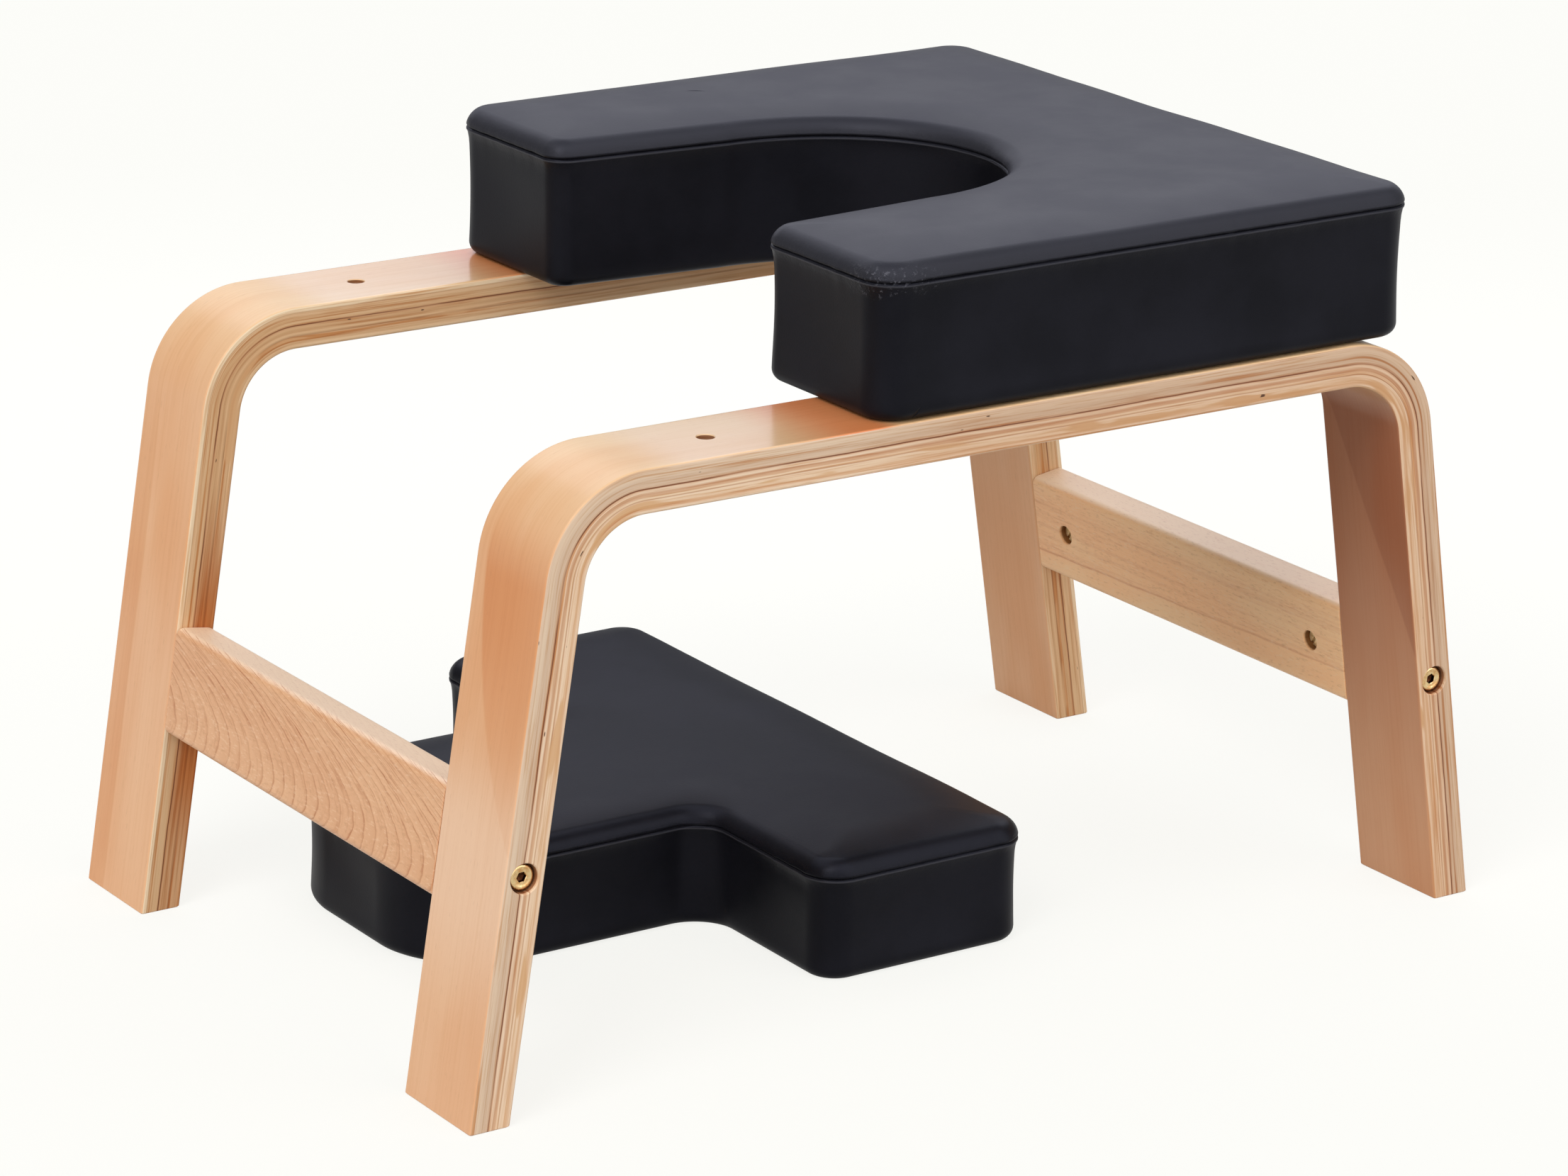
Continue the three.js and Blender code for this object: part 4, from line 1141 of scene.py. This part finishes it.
class StoolRailFixings(bpy.types.Operator):
    """Turn the connector bolts and the slotted barrel nuts"""
    bl_idname = "stool.rail_fixings"
    bl_label = "Rail fixings"

    def execute(self, context):
        brass = tuple(context.scene.stool_rail.brass_colour)
        face = BOLT_SEAT + HEAD_HEIGHT - 0.2 * MM
        bright = metal("bright_brass", brass, 0.28, srgb(206, 156, 98), face)
        dull = metal("dull_brass", srgb(250, 232, 184), 0.30, srgb(206, 176, 120), metallic=0.7)
        for end, end_name in ENDS:
            for side, side_name in SIDES:
                place = f"{end_name}_{side_name}"
                bolt = make_object(f"connector_bolt_{place}", rail_bolt(end, side))
                dress(bolt, bright, "stool", [f"rail_bolt_{place}"])
                nut = make_object(f"slotted_nut_{place}", barrel_nut(end, side))
                for solid in nut_carvings(end, side):
                    carve(nut, solid)
                dress(nut, dull, "stool", [f"barrel_nut_{place}"])
        return {"FINISHED"}


def upholster(pad, turns_at, base, seam, seed, body):
    """Makes a pad's cushion, in place of its covers and foam."""
    settings = bpy.context.scene.stool_pad
    made = make_object(f"{pad}_cushion", pad_solid(turns_at, base, seam, settings, seed))
    cloth = bpy.data.materials.get("black_leather") or leather(settings)
    covered = [f"{pad}_pad_{piece}" for piece in ("top_cover", "side_cover", "foam")]
    dress(made, cloth, body, covered, 75)


class StoolShoulderPad(bpy.types.Operator):
    """Upholster the U-shaped shoulder pad"""
    bl_idname = "stool.shoulder_pad"
    bl_label = "Shoulder pad"

    def execute(self, context):
        upholster("shoulder", shoulder_turns, PAD_BASE, PAD_SEAM, 11, "stool")
        return {"FINISHED"}


class StoolInfillPad(bpy.types.Operator):
    """Upholster the loose T-shaped infill pad"""
    bl_idname = "stool.infill_pad"
    bl_label = "Infill pad"

    def execute(self, context):
        upholster("infill", infill_turns, 0.0, INFILL_SEAM, 31, "infill_pad")
        return {"FINISHED"}


class StoolHiddenParts(bpy.types.Operator):
    """Finish the dowels, boards, cloths and steel fixings that stay as the frame has them"""
    bl_idname = "stool.hidden_parts"
    bl_label = "Hidden parts"

    def execute(self, context):
        steel = metal("zinc_steel", srgb(186, 188, 192), 0.34, srgb(150, 152, 158))
        finishes = {
            "dowel": dowel_wood(), "board": board_plywood(), "base_cloth": felt(), "insert": steel,
            "washer": steel, "pad_bolt": steel}
        for name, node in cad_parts.items():
            for word, finish in finishes.items():
                if word in name:
                    for slot in node.material_slots:
                        slot.link = "OBJECT"
                        slot.material = finish
        return {"FINISHED"}


def place_lamp(name, light, energy, direction, place=(0, 0, 0)):
    """Puts a lamp in place, shining along a direction."""
    light.energy = energy
    made = bpy.data.objects.new(name, light)
    made.location = place
    made.rotation_euler = Vector(direction).to_track_quat("-Z", "Y").to_euler()
    bpy.context.scene.collection.objects.link(made)
    return made


def sun_lamp(name, direction, strength, angle):
    """A distant lamp with a soft edge."""
    light = bpy.data.lights.new(name, "SUN")
    light.angle = math.radians(angle)
    place_lamp(name, light, strength, direction)


def softbox_lamp(name, settings, place, power):
    """A wide panel behind the stool, above what the loose pad can mirror to the camera. It
    gives the level faces their sheen."""
    light = bpy.data.lights.new(name, "AREA")
    light.shape = "RECTANGLE"
    light.size = settings.softbox_width
    light.size_y = settings.softbox_height
    light.color = (0.86, 0.87, 1.0)
    made = place_lamp(name, light, power, Vector((0, 0, 0.25)) - Vector(place), place)
    made.visible_camera = False
    return made


def floor_material(settings):
    """A pale floor that lights the object softly. The camera sees it near white, with a
    share of its shadow kept."""
    recipe = Recipe("pale_floor")
    recipe.tree.nodes.clear()
    colour = tuple(settings.floor_colour)
    for_light = recipe.node("BsdfDiffuse", {"Color": (0.62, 0.62, 0.61)})
    glow = recipe.node("Emission", {"Color": colour, "Strength": 0.85})
    shaded = recipe.node("BsdfDiffuse", {"Color": tuple(0.17 * part for part in colour)})
    seen = recipe.node("AddShader", {0: glow, 1: shaded})
    path = recipe.make("LightPath").outputs
    camera, through, glossy = (
        Value(recipe, path[f"Is {ray} Ray"]) for ray in ("Camera", "Transmission", "Glossy"))
    looks = recipe.math("MAXIMUM", recipe.math("MAXIMUM", camera, through), glossy * 0.5)
    both = recipe.node("MixShader", {0: looks, 1: for_light, 2: seen})
    recipe.make("OutputMaterial", {"Surface": both})
    return recipe.owner


def studio_sky(settings):
    """A white sky for the camera, and a dimmer one that lights the object. Shiny pieces see
    a bluer sky, which is dimmest low down and away from the camera."""
    recipe = Recipe("studio", "worlds")
    recipe.tree.nodes.clear()
    _, nearness, height = recipe.split(recipe.node("TexCoord", output="Generated"))
    strength = height.span(0.50, 0.92, 0.23, 2.80) + nearness.span(0.0, -0.8, 0.0, 1.5)
    lit, shiny, seen = (
        recipe.node("Background", {"Color": colour, "Strength": level}) for colour, level in (
            ((1.0, 1.0, 1.0), settings.sky_strength), ((0.88, 0.90, 1.0), strength),
            (tuple(settings.floor_colour), 1.0)))
    path = recipe.make("LightPath").outputs
    for ray, look in (("Is Glossy Ray", shiny), ("Is Camera Ray", seen)):
        lit = recipe.node("MixShader", {0: Value(recipe, path[ray]), 1: lit, 2: look})
    recipe.make("OutputWorld", {"Surface": lit})
    return recipe.owner


def photograph_camera():
    """The camera, turned by its yaw, pitch and roll."""
    level = Vector((math.sin(CAMERA_YAW), math.cos(CAMERA_YAW), 0))
    forward = level * math.cos(CAMERA_PITCH) - Vector((0, 0, math.sin(CAMERA_PITCH)))
    across = forward.cross(Vector((0, 0, 1))).normalized()
    upright = across.cross(forward)
    right = across * math.cos(CAMERA_ROLL) + upright * math.sin(CAMERA_ROLL)
    up = upright * math.cos(CAMERA_ROLL) - across * math.sin(CAMERA_ROLL)
    camera = bpy.data.objects.new("camera", bpy.data.cameras.new("camera"))
    camera.data.sensor_width = SENSOR_WIDTH
    camera.data.sensor_fit = "HORIZONTAL"
    camera.data.lens = FOCAL_SHARE * SENSOR_WIDTH
    turn = Matrix((right, up, -forward)).transposed().to_4x4()
    camera.matrix_world = Matrix.Translation(CAMERA_PLACE) @ turn
    return camera


class StoolStage(bpy.types.Operator):
    """Set the floor, the lamps, the sky and the camera"""
    bl_idname = "stool.stage"
    bl_label = "Stage"

    def execute(self, context):
        settings = context.scene.stool_stage
        corners = np.array([(-1, -1, 0), (1, -1, 0), (1, 1, 0), (-1, 1, 0)]) * FLOOR_REACH
        floor = make_object("floor", (corners, [[0, 1, 2, 3]]))
        if floor.data.polygons[0].normal.z < 0:
            floor.data.flip_normals()
        floor.data.materials.append(floor_material(settings))
        context.scene.world = studio_sky(settings)

        sun_lamp("key_lamp", (0.60, 0.30, -0.74), settings.key_strength, 30)
        sun_lamp("side_lamp", (0.85, 0.42, -0.22), settings.side_strength, 60)
        middle = settings.softbox_bottom + settings.softbox_height / 2
        softbox_lamp("softbox", settings, (0.53, 0.77, middle), settings.softbox_power)
        upper = softbox_lamp("upper_softbox", settings, (0.50, 0.73, middle + 0.5), settings.sheen_power)
        upper.visible_diffuse = False
        sun_lamp("fill_lamp", (-0.35, 0.85, -0.38), settings.fill_strength, 60)

        context.scene.camera = photograph_camera()
        context.scene.collection.objects.link(context.scene.camera)
        context.scene.view_settings.view_transform = "Standard"
        return {"FINISHED"}


OPERATORS = (
    StoolSideFrames, StoolRails, StoolRailFixings, StoolShoulderPad, StoolInfillPad,
    StoolHiddenParts, StoolStage)


class StoolPanel(bpy.types.Panel):
    """Lists the stool's pieces in the 3D view's sidebar"""
    bl_idname = "VIEW3D_PT_stool"
    bl_label = "Headstand stool"
    bl_space_type = "VIEW_3D"
    bl_region_type = "UI"
    bl_category = "Stool"

    def draw(self, context):
        for operator in OPERATORS:
            self.layout.operator(operator.bl_idname)


SETTINGS = (
    ("stool_frame", FrameSettings), ("stool_rail", RailSettings), ("stool_pad", PadSettings),
    ("stool_stage", StageSettings))


def register():
    for kind in (*(group for _, group in SETTINGS), *OPERATORS, StoolPanel):
        bpy.utils.register_class(kind)
    for name, group in SETTINGS:
        setattr(bpy.types.Scene, name, bpy.props.PointerProperty(type=group))


def unregister():
    for name, _ in SETTINGS:
        delattr(bpy.types.Scene, name)
    for kind in (StoolPanel, *reversed(OPERATORS), *(group for _, group in SETTINGS)):
        bpy.utils.unregister_class(kind)


def main():
    """Builds every piece in order."""
    register()
    bpy.ops.stool.side_frames()
    bpy.ops.stool.rails()
    bpy.ops.stool.rail_fixings()
    bpy.ops.stool.shoulder_pad()
    bpy.ops.stool.infill_pad()
    bpy.ops.stool.hidden_parts()
    bpy.ops.stool.stage()


if __name__ == "__main__":
    main()
